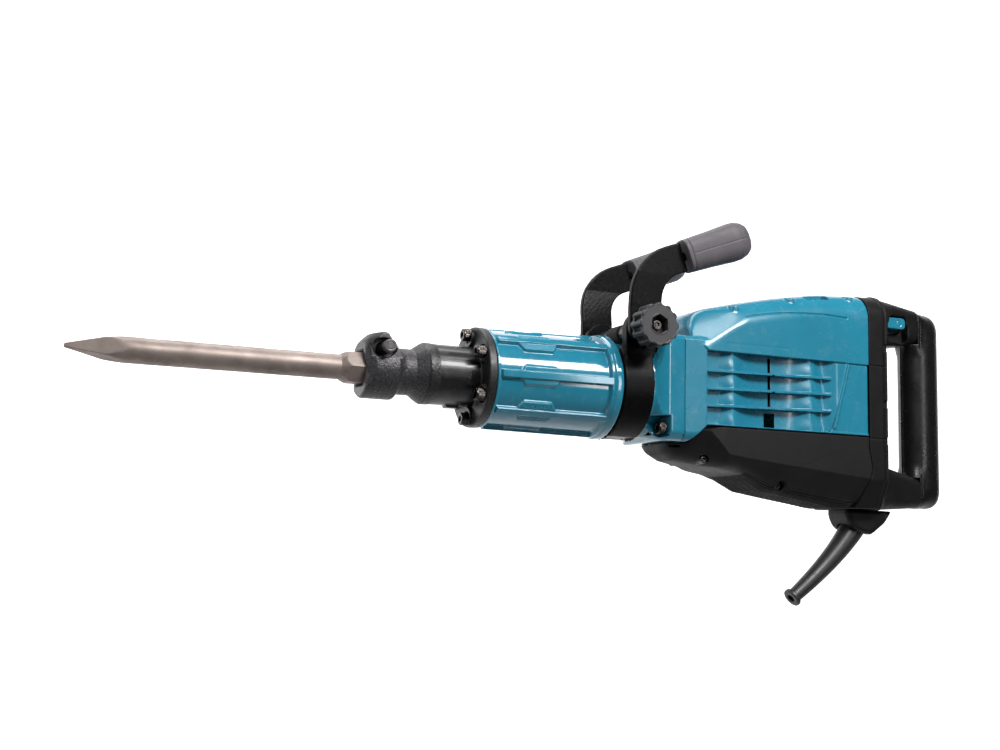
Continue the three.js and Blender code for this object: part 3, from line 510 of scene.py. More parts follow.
MATERIALS = {
    "teal_paint": coated("teal_enamel", TEAL, (0.08, 0.16), 700.0, 0.02, 0.7),
    "teal_cast": cast("teal_cast", shade(TEAL, 0.75), shade(TEAL, 1.35), (0.35, 0.55), 420.0, 0.45, 0.0),
    "teal_plastic": coated("teal_plastic", TEAL, (0.22, 0.3), 1300.0, 0.02, 0.25, 0.06),
    "black_plastic": moulded("grained_black_plastic", linear(18, 17, 19), shine=0.26),
    "shell_plastic": moulded("shell_black_plastic", linear(16, 14, 15), (0.4, 0.55), shine=0.26),
    "grip_rubber": moulded("grip_black_rubber", linear(15, 14, 16), (0.24, 0.34), 2200.0, 0.02, 0.12),
    "rubber": moulded("moulded_grip_rubber", linear(76, 72, 77), (0.5, 0.66), 1800.0, 0.05, 0.12, 0.1),
    "guard_rubber": moulded("guard_rubber", linear(35, 33, 35), (0.34, 0.46), 1600.0, 0.03, 0.25, 0.05),
    "knob_plastic": moulded("knob_plastic", linear(48, 47, 49), (0.45, 0.6), 1700.0, 0.04, 0.1),
    "satin_black": coated("satin_black", linear(14, 14, 16), (0.26, 0.36), 900.0, 0.02, 0.2, 0.15),
    "band_black": cast("band_black", linear(2, 2, 3), linear(9, 9, 10), (0.3, 0.45), 380.0, 0.04, 0.0, 0.12),
    "arm_black": cast("arm_black", linear(2, 2, 3), linear(11, 11, 12), (0.26, 0.4), 420.0, 0.04, 0.0, 0.12),
    "black_cast": cast("black_cast", linear(14, 13, 14), linear(76, 74, 77), (0.3, 0.55), 800.0, 0.2, 0.4),
    "flange_black": cast("flange_black", linear(16, 15, 16), linear(44, 42, 44), (0.3, 0.5), 500.0, 0.08,
                         0.2),
    "chisel_steel": machined("forged_steel", linear(126, 114, 108), linear(152, 139, 132), (0.44, 0.54),
                             (1.0, 1.6, 1.6), 0.6, 0.006),
    "bright_steel": machined("ground_steel", linear(120, 118, 116), linear(190, 187, 184)),
    "pin_steel": machined("pin_steel", linear(78, 75, 76), linear(118, 114, 114), (0.32, 0.44),
                          (1.0, 1.0, 1.0), 0.6, 0.004),
    "flat_steel": machined("milled_face", linear(66, 64, 67), linear(92, 88, 92), (0.36, 0.5),
                           (3.0, 3.0, 3.0), 0.3, 0.01),
    "bolt_steel": machined("oiled_bolt_steel", linear(34, 31, 30), linear(104, 98, 95), (0.18, 0.34)),
    "cast_iron": cast("dark_iron", linear(60, 58, 58), linear(110, 108, 106), (0.5, 0.7), 500.0, 0.15, 0.7),
    "aluminium": machined("piston_alloy", linear(170, 172, 175), linear(215, 216, 218)),
    "copper": machined("copper_windings", linear(140, 72, 36), linear(214, 132, 78), (0.3, 0.45),
                       (1.0, 1.0, 40.0)),
    "brass": machined("pressed_brass", linear(150, 116, 50), linear(212, 178, 98)),
    "board_green": moulded("circuit_board", linear(34, 84, 50), (0.3, 0.45), 900.0, 0.05, 0.2),
    # Very dark matte black: painted shade inside the holder's bore, the hood's slots and window, the cover's
    # screw holes and the guard's mouth; also the dull sleeve on the clamp spacer.
    "dull_black_and_painted_shade": moulded("dull_black_and_painted_shade", linear(12, 12, 14), (0.7, 0.9), 900.0, 0.05, 0.2),
}


# ------------------------------------------------------------------ chisel
TIP_X, BAR_R, HEX_AF, SHANK_END_X = -317.0, 14.0, 34.0, 140.0
FACET_LENGTH = 51.0             # the four point facets meet the bar this far behind the tip


def chisel_shape(p):
    x, y, z = p
    radius = length2(y, z)
    corner = HEX_AF / math.sqrt(3)
    bar = (radius - BAR_R - (corner + 0.5 - BAR_R) * np.clip((x + 22) / 11, 0, 1)) * 0.8
    shank = common(bar, hexagon(y, z, HEX_AF, math.pi / 2), 0.8)
    lean = math.atan(BAR_R * 0.72 / FACET_LENGTH)
    point = np.full(np.shape(x), -1e3)
    for k in range(4):
        a = math.radians(80) + k * math.pi / 2
        side = y * math.cos(a) + z * math.sin(a)
        point = common(point, side * math.cos(lean) - (x - TIP_X + 9) * math.sin(lean), 0.5)
    body = common(common(shank, point, 1.0), slab(x, TIP_X, SHANK_END_X), 1.8)
    notch = box(p, (PIN_X - PIN_R - 1, -40, PIN_Z - PIN_R - 0.35), (PIN_X + PIN_R + 23, 40, 60), 2.0)
    return roughened(cut(body, notch, 1.0), p, 60, 0.1)


add_piece("bull_point", chisel_shape, (TIP_X, -21, -20), (SHANK_END_X, 21, 20), 0.7, 0.3,
          "chisel", ["bull_point_chisel"], ["chisel_steel"])

# ------------------------------------------------------------------ tool holder
NOSE_X, NOSE_R, NOSE_TOP, BOSS_Y = 2.5, 33.0, 40.0, 27.0
WAIST_R, SLEEVE_R, SLEEVE_X = 26.0, 34.5, 88.0


def bolt_places():
    angles = [(2 * k + 1) * math.pi / BOLT_COUNT for k in range(BOLT_COUNT)]
    return [(BOLT_CIRCLE_R * math.cos(a), BOLT_CIRCLE_R * math.sin(a)) for a in angles]


def holder_shape(p):
    x, y, z = p
    radius = length2(y, z)
    drum = rod(p, 0, NOSE_X, 42, NOSE_R, edge=4.0)
    top = box(p, (NOSE_X, -BOSS_Y, 0), (46, BOSS_Y, NOSE_TOP), 3.0)
    top = common(top, (x - 29) * 0.82 + (z - 36) * 0.57, 2.0)
    nose = join(drum, top, 3.0)
    nose = common(nose, np.abs(y) * 0.6 - (x - NOSE_X) * 0.8 - 12.5, 1.0)
    nose = common(nose, radius * 0.75 - (x - NOSE_X) * 0.66 - 24, 1.5)
    waist = turned(p, [(20, 0), (20, WAIST_R), (62, WAIST_R), (73, 33.5), (76, 35), (82, 35), (87, SLEEVE_R),
                       (FLANGE_X + 1, SLEEVE_R), (FLANGE_X + 1, 0)], 0.4)
    flange = rod(p, 0, FLANGE_X, FLANGE_X + FLANGE_T, FLANGE_R, edge=1.6)
    body = join(join(nose, waist, 5.0), flange, 2.5)
    for y0, z0 in bolt_places():
        body = join(body, rod(p, 0, FLANGE_X - 4, FLANGE_X + 1, 11.0, (y0 * 0.94, z0 * 0.94), 1.0), 1.0)
    body = join(body, box(p, (105, -7, -38), (121, 7, -30), 2.5), 2.0)
    for y0, z0 in bolt_places():
        body = cut(body, rod(p, 0, 100, FLANGE_X - 0.4, 9.2, (y0, z0), 1.0), 1.0)
        body = cut(body, rod(p, 0, 100, 150, 4.4, (y0, z0)))
    body = cut(body, box((x, np.abs(y), z), (-20, BOSS_Y, 11), (45, 70, 70), 1.0), 0.6)
    recess = prism(common(slab(x, PIN_X - 17, PIN_X + 15), slab(z, 11, 33), 18), y, -60, -BOSS_Y + 9)
    body = cut(body, recess, 1.5)
    body = cut(body, rod(p, 1, -40, 40, PIN_R + 0.5, (PIN_X, PIN_Z)), 0.5)
    mouth = hexagon(y, z, HEX_AF + 1.6, math.pi / 2) - np.clip(NOSE_X + 3 - x, 0, 4)
    body = cut(body, prism(mouth, x, -10, 142), 0.6)
    body = cut(body, rod(p, 0, 141, 160, 18.0))
    rough = step(x, 6, 9) * (1 - step(x, SLEEVE_X - 3, SLEEVE_X)) * (1 - bump(z, 24, 12) * (y < 0))
    return roughened(body, p, 5.5, 0.16, rough)


def holder_rule(centres, normals):
    x, y, z = centres.T
    rule = np.full(len(x), 0)
    rule[x > 74] = 1
    rule[x > SLEEVE_X] = 2
    rule[(x > 117) & (length2(y, z) > SLEEVE_R + 0.6)] = 1
    front = (x < NOSE_X + 2) & (normals[:, 0] < -0.8)
    boss = (np.abs(y) > BOSS_Y - 1.2) & (np.abs(normals[:, 1]) > 0.93) & (x < 46) & (z > 9)
    rule[front | boss] = 3
    rule[(y < 0) & (y > -BOSS_Y + 0.7) & (x > 5) & (x < 40) & (z > 9) & (z < 34) & ~front] = 2
    # The bore inside the nose is painted near black, as painted shade.
    hollow = (length2(y, z) < 20) & ~front
    rule[hollow] = 4
    return rule


def pin_shape(p):
    x, y, z = p
    q = (x - PIN_X, y, z - PIN_Z)
    radius = length2(q[0], q[2])
    pin = prism(radius - PIN_R, y, -45, 24, 1.0)
    pin = cut(pin, prism(np.abs(radius - 4.2) - 0.35, y, -50, -44.7), 0.3)
    pin = cut(pin, prism(np.abs(radius - 8.3) - 1.6, y, -41, -38.5), 0.8)
    return cut(pin, box(q, (-20, -18.5, 4.3), (20, 18.5, 20), 0.5), 0.5)


def pin_rule(centres, normals):
    """Bright at the end towards the viewer, black behind it."""
    y = centres[:, 1]
    return np.where((y < -38) & (y > -60), 0, 1)


def bolt_shape(length, head_r, head_t):
    """Socket-head bolt along X, its head's face at the origin."""
    def shape(p):
        x, y, z = p
        radius = length2(y, z)
        knurled = step(x, 1.5, 2.5) * (1 - step(x, head_t - 2, head_t - 1))
        knurl = 0.22 * np.cos(np.arctan2(z, y) * 36) * knurled
        head = prism(radius - head_r + knurl, x, 0, head_t, 0.9)
        head = cut(head, prism(hexagon(y, z, 6.6), x, -2, 5.0), 0.4)
        return join(head, prism(radius - 3.9, x, head_t - 1, length))
    return shape


def add_bolt(mesh, node, place):
    obj = bpy.data.objects.new(node + "_socket_head", mesh)
    bpy.context.scene.collection.objects.link(obj)
    obj.location = Vector(to_row([place])[0]) - Vector(to_row([(0, 0, 0)])[0])
    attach(obj, "hammer_body")
    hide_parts(node)


def make_bolts(places, length, head_r, head_t):
    """A bolt at each named place, all sharing one mesh."""
    pattern = skin("bolt_pattern", bolt_shape(length, head_r, head_t), (0, -8, -8), (length, 8, 8), 0.55, 0.5)
    pattern.data.materials.append(MATERIALS["bolt_steel"])
    for name, place in places:
        add_bolt(pattern.data, name, place)
    bpy.data.objects.remove(pattern)


add_piece("tool_holder_casting", holder_shape, (NOSE_X, -60, -60), (FLANGE_X + FLANGE_T, 60, 60), 0.9, 0.45,
          "hammer_body", ["tool_holder"],
          ["black_cast", "flange_black", "satin_black", "flat_steel", "dull_black_and_painted_shade"], holder_rule)
add_piece("retainer_pin_turned", pin_shape, (PIN_X - 9, -46, PIN_Z - 9), (PIN_X + 9, 25, PIN_Z + 9), 0.5, 0.5,
          "retainer", ["retainer_pin"], ["pin_steel", "satin_black"], pin_rule)
make_bolts([("flange_bolt_%d" % (k + 1), (FLANGE_X - 11.85, y, z)) for k, (y, z) in enumerate(bolt_places())],
           32, 7.2, 11.5)
make_bolts([("crankcase_bolt_" + name, (359.8, side * CASE_BOLT_Y, CASE_BOLT_Z)) for name, side in SIDES],
           18, 7.6, 10)

# ------------------------------------------------------------------ barrel
BARREL_R0, BARREL_R1, RIB_H, LIP_R = 54.6, 56.8, 5.0, 63.0
SHOULDER_X = (184.0, 219.0)     # waist of each pocket, with rough sloping shoulders
POCKET_HALF = 17.5              # half width of a pocket's floor, along the arc
CHANNEL_HALF = 8.0              # and at its waist


def pocket_coordinate(y, z):
    """Arc distance from the middle of the nearest pocket, positive towards a rib with cast shoulders."""
    share = 2 * math.pi / RIB_COUNT
    turn = np.arctan2(z, y) / share
    across = (turn - np.floor(turn) - 0.5) * share * 58
    return np.where(np.floor(turn) % 2 == 0, across, -across)


def shoulder_mask(x, s):
    """1 along the waist of a pocket, 0 in front of it and behind it."""
    away = np.clip((s - CHANNEL_HALF) / 10, 0, 1)
    first, last = SHOULDER_X[0] - 6 * away, SHOULDER_X[1] + 7 * away
    return step(x, first - 1.2, first + 1.2) * (1 - step(x, last - 1.2, last + 1.2))


def barrel_shape(p):
    x, y, z = p
    radius = length2(y, z)
    t = pocket_coordinate(y, z)
    s = np.abs(t)
    floor = BARREL_R0 + (BARREL_R1 - BARREL_R0) * (x - BARREL_X0) / (BARREL_X1 - BARREL_X0)
    mask = shoulder_mask(x, s)
    rib = step(s, POCKET_HALF, POCKET_HALF + 1.6)
    cast_side = 0.66 * step(t, CHANNEL_HALF - 1, CHANNEL_HALF + 2)
    smooth_side = 0.5 * step(-t, CHANNEL_HALF + 1, CHANNEL_HALF + 5)
    shoulder = mask * (cast_side + smooth_side)
    end = step(x, 289, 292.5)
    height = np.maximum.reduce([rib * step(x, 151, 154), shoulder, end]) * RIB_H
    wall = radius - floor - height
    rough = mask * step(t, 8, 10) * (1 - step(t, 16.5, 17.5))
    wall = roughened(wall, p, 5.0, 0.3, rough)
    body = prism(wall * 0.72, x, BARREL_X0, BARREL_X1 - 4, 0.5)
    collar = prism(radius - 58.2, x, BARREL_X0, BARREL_X0 + 3.5, 0.8)
    lip = prism(radius - LIP_R, x, 295, BARREL_X1 - 0.2, 3.2)
    body = join(join(body, collar, 1.5), lip, 2.0)
    return cut(body, rod(p, 0, 100, 400, 46.5))


def barrel_rule(centres, normals):
    x, y, z = centres.T
    t = pocket_coordinate(y, z)
    rough = (shoulder_mask(x, np.abs(t)) > 0.6) & (t > 9) & (t < 17.4) & (length2(y, z) > 50)
    return np.where(rough, 1, 0)


add_piece("barrel_casting", barrel_shape, (BARREL_X0, -64, -64), (BARREL_X1, 64, 64), 1.0, 0.4,
          "hammer_body", ["barrel_housing"], ["teal_paint", "teal_cast"], barrel_rule)

# ------------------------------------------------------------------ side handle
def band_shape(p):
    x, y, z = p
    radius = length2(y, z)
    ring = prism(radius - 63.5, x, BAND_X0, BAND_X1, 1.4)
    outline = arc(PIVOT_X, PIVOT_Z, ARM_W / 2, 0, 180, 12) + [
        (PIVOT_X - ARM_W / 2, 20), (BAND_X1, 20), (BAND_X1 + 7, 50)]
    lugs = prism(polygon(x, z, outline), y, -56, 56, 1.6)
    body = join(ring, lugs, 5.0)
    body = cut(body, box(p, (290, -44, 15), (370, 44, 120)), 2.0)
    body = cut(body, prism(radius - NECK_R - 0.8, x, 290, BAND_X1 + 0.2))
    body = cut(body, prism(radius - 64.6, x, BAND_X1 + 0.3, 400))
    body = cut(body, rod(p, 1, -80, 80, BORE_R, (PIVOT_X, PIVOT_Z)), 0.6)
    bridge = box(p, (BAND_X0 + 1, -48, -70), (BAND_X1 - 1, 48, -60))
    return roughened(cut(body, bridge), p, 9.0, 0.05)


def spacer_shape(p):
    x, y, z = p
    radius = length2(x - PIVOT_X, z - PIVOT_Z)
    body = prism(radius - 9.5, y, -43.6, 43.6, 1.0)
    sleeve = prism(radius - 11.5, y, -SLEEVE_HALF, SLEEVE_HALF, 1.5)
    return cut(join(body, sleeve, 1.0), prism(radius - BORE_R, y, -60, 60))


def spacer_rule(centres, normals):
    return np.where(np.abs(centres[:, 1]) < SLEEVE_HALF + 0.2, 1, 0)


def arm_middle(side, z):
    """Mid-plane of the arm's plate at each height: it steps outwards above the clamp."""
    return side * (ARM_Y_LOW + (ARM_Y_HIGH - ARM_Y_LOW) * np.clip((z - 90) / 42, 0, 1))


def arm_outline():
    """Side view of an arm: an eye round the pivot, an upright, a bend and a short run to the grip."""
    left, right, bend = PIVOT_X - ARM_W / 2, PIVOT_X + ARM_W / 2, 104
    rise = math.degrees(GRIP_RISE)
    end_x = GRIP_START_X - 2
    lean = 17 * math.sin(GRIP_RISE)
    outer = arc(left + 66, bend, 66, 180, 90 + rise, 10)
    inner = arc(right + 32, bend, 32, 90 + rise, 180, 8)
    slope = math.tan(GRIP_RISE)
    tip_out = (end_x - lean, outer[-1][1] + (end_x - lean - outer[-1][0]) * slope)
    tip_in = (end_x + lean, inner[0][1] + (end_x + lean - inner[0][0]) * slope)
    eye = arc(PIVOT_X, PIVOT_Z, ARM_W / 2, 180, 360, 14)
    return eye + inner[::-1] + [tip_in, tip_out] + outer[::-1]


def arm_shape(side):
    outline = arm_outline()

    def shape(p):
        x, y, z = p
        plate = prism(polygon(x, z, outline), (y - arm_middle(side, z)) * 0.98, -ARM_T / 2, ARM_T / 2, 1.8)
        return roughened(cut(plate, rod(p, 1, -90, 90, BORE_R, (PIVOT_X, PIVOT_Z)), 0.5), p, 7.0, 0.06)
    return shape


def along_grip(side):
    """Function that gives a point's place along, above and across a side grip, from the grip's start."""
    along = np.array([math.cos(GRIP_RISE) * math.cos(GRIP_SPLAY), side * math.sin(GRIP_SPLAY),
                      math.sin(GRIP_RISE) * math.cos(GRIP_SPLAY)])
    across = np.cross(along, [-math.sin(GRIP_RISE), 0, math.cos(GRIP_RISE)])
    across = across / np.linalg.norm(across)
    directions = (along, np.cross(across, along), across)
    start = (GRIP_START_X, side * ARM_Y_HIGH, GRIP_START_Z)

    def place(p):
        q = [p[i] - start[i] for i in range(3)]
        return [sum(q[i] * d[i] for i in range(3)) for d in directions]
    return place


TANG_R, TANG_LENGTH = 5.0, 52.0
GRIP_PROFILE = [(-0.5, 17.6), (0.5, 18.0), (4, 18.2), (35, 19.2), (62, 20.8), (70, 20.6), (78, 18.4),
                (84, 14.6), (87.5, 9.5), (GRIP_LENGTH, 3.0)]


def handle_grip_shape(side):
    place = along_grip(side)
    stations, radii = zip(*GRIP_PROFILE)

    def shape(p):
        t, u, v = place(p)
        radius = (np.abs(u * 0.88) ** 3 + np.abs(v * 1.06) ** 3) ** (1 / 3)
        body = prism((radius - np.interp(t, stations, radii)) * 0.9, t, 0, GRIP_LENGTH, 1.2)
        seam = 0.35 * bump(u, 0, 0.7) * step(t, 5, 9)
        collar = 0.9 * bump(t, 5.0, 1.1)
        ribs = 0.06 * np.sin(t * 3.6) * step(t, 8, 12) * (1 - step(t, 62, 68))
        core = common(length2(u, v) - TANG_R - 0.4, slab(t, -10, TANG_LENGTH + 0.4))
        return cut(body + seam * 0.8 + collar * 0.7 + ribs * 0.5, core)
    return shape


def tang_shape(side):
    """Round bar of the arm that reaches into the grip."""
    place = along_grip(side)

    def shape(p):
        t, u, v = place(p)
        return prism(length2(u, v) - TANG_R, t, -3, TANG_LENGTH, 1.0)
    return shape


KNOB_LOBES = 12


def knob_shape(p):
    x, y, z = p
    u, v, w = x - PIVOT_X, z - PIVOT_Z, y + KNOB_Y1
    radius, angle = length2(u, v), np.arctan2(v, u)
    wave = np.cos(KNOB_LOBES * angle)
    groove = step(w, 4.5, 6.5) * (1 - step(w, 19, 21)) * np.clip(0.3 - wave, 0, 0.8)
    rim = 24.8 + 1.3 * np.tanh(1.6 * wave) - 4.0 * groove
    head = prism((radius - rim) * 0.8, w, 0, 25, 1.6)
    body = join(head, prism(radius - 18, w, 18, KNOB_Y1 - KNOB_Y0, 1.0), 2.0)
    body = cut(body, prism(hexagon(u, v, 20.5), w, -5, 12.5, 0.3), 0.6)
    dish = prism(np.abs(radius - 17.6) - 5.2, w, -5, 0.5, 0.2)
    return cut(cut(body, dish, 0.3), prism(radius - BORE_R, w, -5, 40))


def clamp_bolt_shape(p):
    x, y, z = p
    u, v = x - PIVOT_X, z - PIVOT_Z
    radius, angle = length2(u, v), np.arctan2(v, u)
    thread = 0.3 * np.sin(y * 2 * math.pi / 1.75 + angle) * (1 - step(y, -70, -68))
    shaft = prism((radius - 5.9 + thread) * 0.85, y, -KNOB_Y1 + 6, KNOB_Y0 + 1, 0.8)
    shaft = cut(shaft, prism(radius - 2.4, y, -KNOB_Y1, -KNOB_Y1 + 8, 0.3), 0.4)
    head = common(prism(hexagon(u, v, 18.5), y, KNOB_Y0, KNOB_Y0 + 9, 0.5), radius - 10.3, 0.8)
    return join(shaft, head)


def make_clamp():
    add_piece("clamp_band_forging", band_shape, (BAND_X0, -64, -64), (BAND_X1 + 8, 64, 88), 1.0, 0.5,
              "handle_clamp", ["clamp_band"], ["band_black"])
    add_piece("clamp_spacer_tube", spacer_shape, (321, -44, 54), (345, 44, 78), 0.8, 0.4,
              "handle_clamp", ["clamp_spacer"], ["satin_black", "dull_black_and_painted_shade"], spacer_rule)


def make_arm(name, side):
    low, high = sorted((side * 56, side * 71))
    add_piece("handle_arm_" + name + "_bar", arm_shape(side), (310, low, 44), (392, high, 178), 0.8, 0.5,
              "handle_arms", ["handle_arm_" + name], ["arm_black"])
    add_piece("handle_tang_" + name, tang_shape(side), (365, low - 12, 145), (440, high + 12, 182), 0.8, 0.4,
              "handle_arms", [], ["arm_black"])
    low, high = sorted((side * 45, side * 97))
    add_piece("handle_grip_" + name + "_rubber", handle_grip_shape(side), (374, low, 135), (476, high, 211),
              0.9, 0.55, "handle_arms", ["handle_grip_" + name], ["rubber"])


def make_knob():
    add_piece("clamp_knob_star", knob_shape, (306, -KNOB_Y1, 39), (360, -KNOB_Y0, 93), 0.7, 0.5,
              "clamp_knob", ["clamp_knob"], ["knob_plastic"])
    add_piece("clamp_bolt_threaded", clamp_bolt_shape, (322, -KNOB_Y1, 55), (344, 76, 77), 0.6, 0.5,
              "handle_arms", ["clamp_bolt"], ["bolt_steel"])


make_clamp()
for side_name, side_sign in SIDES:
    make_arm(side_name, side_sign)
make_knob()

# ------------------------------------------------------------------ crankcase
CASE_X0, CASE_X1 = 347.7, 389.9
CASE_W0, CASE_W, CASE_H0, CASE_H = 55.5, 60.0, 57.0, 64.0   # half sizes at the neck and at the rear


def case_section(p, grow):
    """Section of the gear case: round at the neck, square with tight corners at the rear."""
    x, y, z = p
    r = np.where(z > 0, 50 - 43 * grow, 50 - 37 * grow)
    half = np.abs(y) - CASE_W0 - (CASE_W - CASE_W0) * grow
    return outside(half + r, np.abs(z) - CASE_H0 - (CASE_H - CASE_H0) * grow + r) - r


def crankcase_shape(p):
    x, y, z = p
    grow = step(x, 350, 370)
    body = common(case_section(p, grow), slab(x, CASE_X0, CASE_X1), 1.0)
    neck = prism(length2(y, z) - NECK_R, x, BARREL_X1 + 0.5, 360)
    body = join(body, neck)
    inner = section_distance(y, z, 49.4, -57, 57, 14, 14)
    body = cut(body, prism(inner, x, 356, 400))
    body = cut(body, rod(p, 0, 300, 358, 46.5))
    for _, side in SIDES:
        bolt = length2(y - side * CASE_BOLT_Y, z - CASE_BOLT_Z)
        boss = prism(bolt - 11, x, 371.5, CASE_X1)
        opening = outside(np.abs(y - side * 60) - 14, np.abs(z + 47.5) - 2) - 10.5
        wall = common(prism(opening - 3, x, 352, 374), case_section(p, grow) + 0.5)
        body = cut(join(join(body, boss), wall), prism(opening, x, 330, 371, 1.0), 2.0)
        body = cut(body, prism(bolt - 4.3, x, 360, 400))
    lip = 0.9 * bump(z, -57.5, 1.1) * step(x, 366, 372)
    return body + lip


add_piece("crankcase_casting", crankcase_shape, (BARREL_X1, -61, -65), (CASE_X1, 61, 65), 1.1, 0.4,
          "hammer_body", ["crankcase"], ["teal_paint"])

# ------------------------------------------------------------------ motor hood
CORNER_R = 34.0                 # upper corners of the hood
FACET_POINT, FACET_NORMAL = (418, 62, 52), (-0.295, 0.847, 0.444)    # flat cut across each front shoulder
RECESS = [(422, -41.5), (422, 47.4), (628, 47.4), (605, -36), (600, -41.5)]
RIM_LINE = ((629.5, 45.0), (607.5, -36.0))
FIN_X, FIN_LENGTH = 423.0, 169.0
FIN_FRONT = (-19.2, 1.3, 23.2)  # height of each fin at its front and rear ends
FIN_REAR = (-15.7, 5.7, 25.9)
SLOT_X = 517.0                  # upright openings between the crests
HOOD_SCREWS = (467.0, 550.0, 640.0)
SCREW_Y, SCREW_SINK = 46.0, 5.2
WINDOW_X, WINDOW_Y = (574, 611), (32, 49)
CREST_LINE = [(478, 94), (496, 98), (514, 101), (535, 103.5), (555, 105), (590, 106.5), (627, 105)]


def hood_top(x):
    return 97 + 44 * np.sin(np.clip((x - 405) / 275, 0, 1) * math.pi / 2)


def hood_block(p):
    """Upper hood without its openings, and the flat-sided front that meets the crankcase."""
    x, y, z = p
    top = hood_top(x)
    shell = section_distance(y, z, HOOD_W - 0.1, HOOD_Z0 - 2, top, CORNER_R, 1.0)
    lean = (404.5 - x) * 0.93 + np.clip(60.6 - z, 0, 13.2) * 1.2
    shell = common(common(shell, lean, 4 + 24 * step(z, 60, 84)), x - HOOD_X1, 3.5)
    gaps = (x - FACET_POINT[0], np.abs(y) - FACET_POINT[1], z - FACET_POINT[2])
    facet = FACET_NORMAL[1] * gaps[1] + FACET_NORMAL[0] * gaps[0] + FACET_NORMAL[2] * gaps[2]
    shell = common(shell, facet, 3.0)
    shell = common(shell, HOOD_Z0 - z, 1.0)
    corner = (x - 409) * 0.66 - (z + 55) * 0.75
    skirt = common(case_section(p, 1.0), slab(x, HOOD_X0, 430), 1.0)
    skirt = common(skirt, corner, 2.0)
    return shell, skirt


def fin_heights(x):
    share = np.clip((x - FIN_X) / FIN_LENGTH, 0, 1)
    return [a + (b - a) * share for a, b in zip(FIN_FRONT, FIN_REAR)]


def louvre_back(x, z):
    """How far out the wall behind the fins stands: two crests with a deep valley between.

    Each bay leans out from under the fin above it to the fin below."""
    crest = 1 / (1 + ((x - 459) / 14) ** 2) + 1 / (1 + ((x - 574) / 16) ** 2)
    back = 48.4 + 11.4 * crest
    back = back + (61.0 - back) * step(x, 584, 616)
    lows = [-41.5] + [v + 1.5 for v in fin_heights(x)]
    rise = np.minimum.reduce([np.where(z >= low - 3, np.maximum(z - low, 0), 99) for low in lows])
    lean = 2.4 * step(rise, 1, 19) * crest * (1 - step(x, 590, 606))
    return np.maximum(back - lean - 0.4, 52.4 - 20 * step(x, 446, 458))


def fins(x, z):
    return np.minimum.reduce([np.abs(z - v) for v in fin_heights(x)]) - 1.5


def slot_openings(x, z):
    """The slots between the fins: a wide one in the lowest bay and narrow ones above it."""
    bays = np.minimum.reduce([np.abs(z - (v + 12.2)) - 8.6 for v in [HOOD_Z0] + fin_heights(x)])
    half_width = np.where(z < -22, 7.5, 1.6)
    return np.maximum(bays, np.abs(x - SLOT_X) - half_width)


def hood_marks(x, z):
    """Grooves, creases and raised lines on the sides, as depth."""
    marks = 1.3 * bump(crease(x, z, CREST_LINE), 0, 0.9)
    marks = marks + (1 - step(z, 46.8, PANEL_Z - 0.4)) * step(x, 420, 423) * 1.3
    marks = marks + 1.1 * bump(z, PANEL_Z - 1.4, 0.8) * step(x, 424, 427)
    marks = marks + 0.25 * bump(z, 58.3, 1.6) * step(x, 444, 452) * (1 - step(x, 536, 548))
    marks = marks - 2.2 * bump(crease(x, z, RIM_LINE), 0, 1.9)
    return marks - 0.9 * bump(z, HOOD_Z0 + 2.2, 1.3) * step(x, 420, 424)


def add_louvres(body, x, s, z):
    back = louvre_back(x, z)
    body = cut(body, np.maximum(polygon(x, z, RECESS), back - s), 1.0)
    hollow = np.maximum(s - (np.minimum(back, 57.4) - 3.4), slab(x, 419, 621))
    body = cut(body, hollow)
    blade = np.maximum.reduce([fins(x, z), s - 60.2, back - 3 - s, slab(x, 421, 604)])
    body = join(body, blade, 1.2)
    return cut(body, np.maximum(slot_openings(x, z), 40 - s), 0.3)


def add_top_details(body, x, s, z):
    """Sunk screws and the window along the top."""
    for x0 in HOOD_SCREWS:
        top = hood_top(x0) - SCREW_SINK
        screw = length2(x - x0, s - SCREW_Y)
        body = join(body, prism(screw - 7.6, z, top - 9, top + 0.2, 1.0), 1.5)
        body = cut(body, prism(screw - 6.2, z, top - 6, top + 20), 0.8)
        head = prism(screw - 4.6, z, top - 9, top - 4.0, 0.8)
        body = join(body, cut(head, prism(screw - 2.0, z, top - 5.5, top + 5)))
    window = box((x, s, z), (WINDOW_X[0], WINDOW_Y[0], 121.5), (WINDOW_X[1], WINDOW_Y[1], 150), 2.0)
    return cut(body, window, 0.5)


def hood_shape(p):
    x, y, z = p
    s = np.abs(y)
    shell, skirt = hood_block(p)
    outer = join(shell, skirt, 1.5)
    body = within((np.abs(outer) < 3) & (s > 20), outer, lambda d, *q: d + hood_marks(*q), x, z)
    beside = (x > 419) & (x < 621) & (z < 50)
    inner = np.maximum.reduce([outer + 4.2, z - 128, np.where(beside, s - 44, -9.0)])
    chamber = np.maximum(section_distance(y, z, 49.6, -57, 57, 14, 14), slab(x, 380, 448))
    body = cut(body, np.minimum(inner, chamber))
    body = within((s > 36) & (z < 52) & (x > 412) & (x < 632), body, add_louvres, x, s, z)
    return within(z > 96, body, add_top_details, x, s, z)


def hood_rule(centres, normals):
    x, y, z = centres.T
    s = np.abs(y)
    screw = np.zeros(len(x), bool)
    for x0 in HOOD_SCREWS:
        screw |= (length2(x - x0, s - SCREW_Y) < 4.9) & (z > hood_top(x0) - SCREW_SINK - 6.3)
    # Slot walls and the inside of the window are painted near black, as painted shade.
    slots = (s < 56) & (slot_openings(x, z) < 0.6) & (z < 46)
    shell = hood_block((x, y, z))[0]
    window = (slab(x, *WINDOW_X) < -0.3) & (slab(s, *WINDOW_Y) < -0.3) & (z > 121) & (shell < -1.2)
    return np.where(screw, 1, np.where(slots | window, 2, 0))


add_piece("motor_hood_moulding", hood_shape, (HOOD_X0, -63, -66), (HOOD_X1, 63, 142), 1.0, 0.3,
          "hammer_body", ["motor_hood"], ["teal_plastic", "satin_black", "dull_black_and_painted_shade"],
          hood_rule)

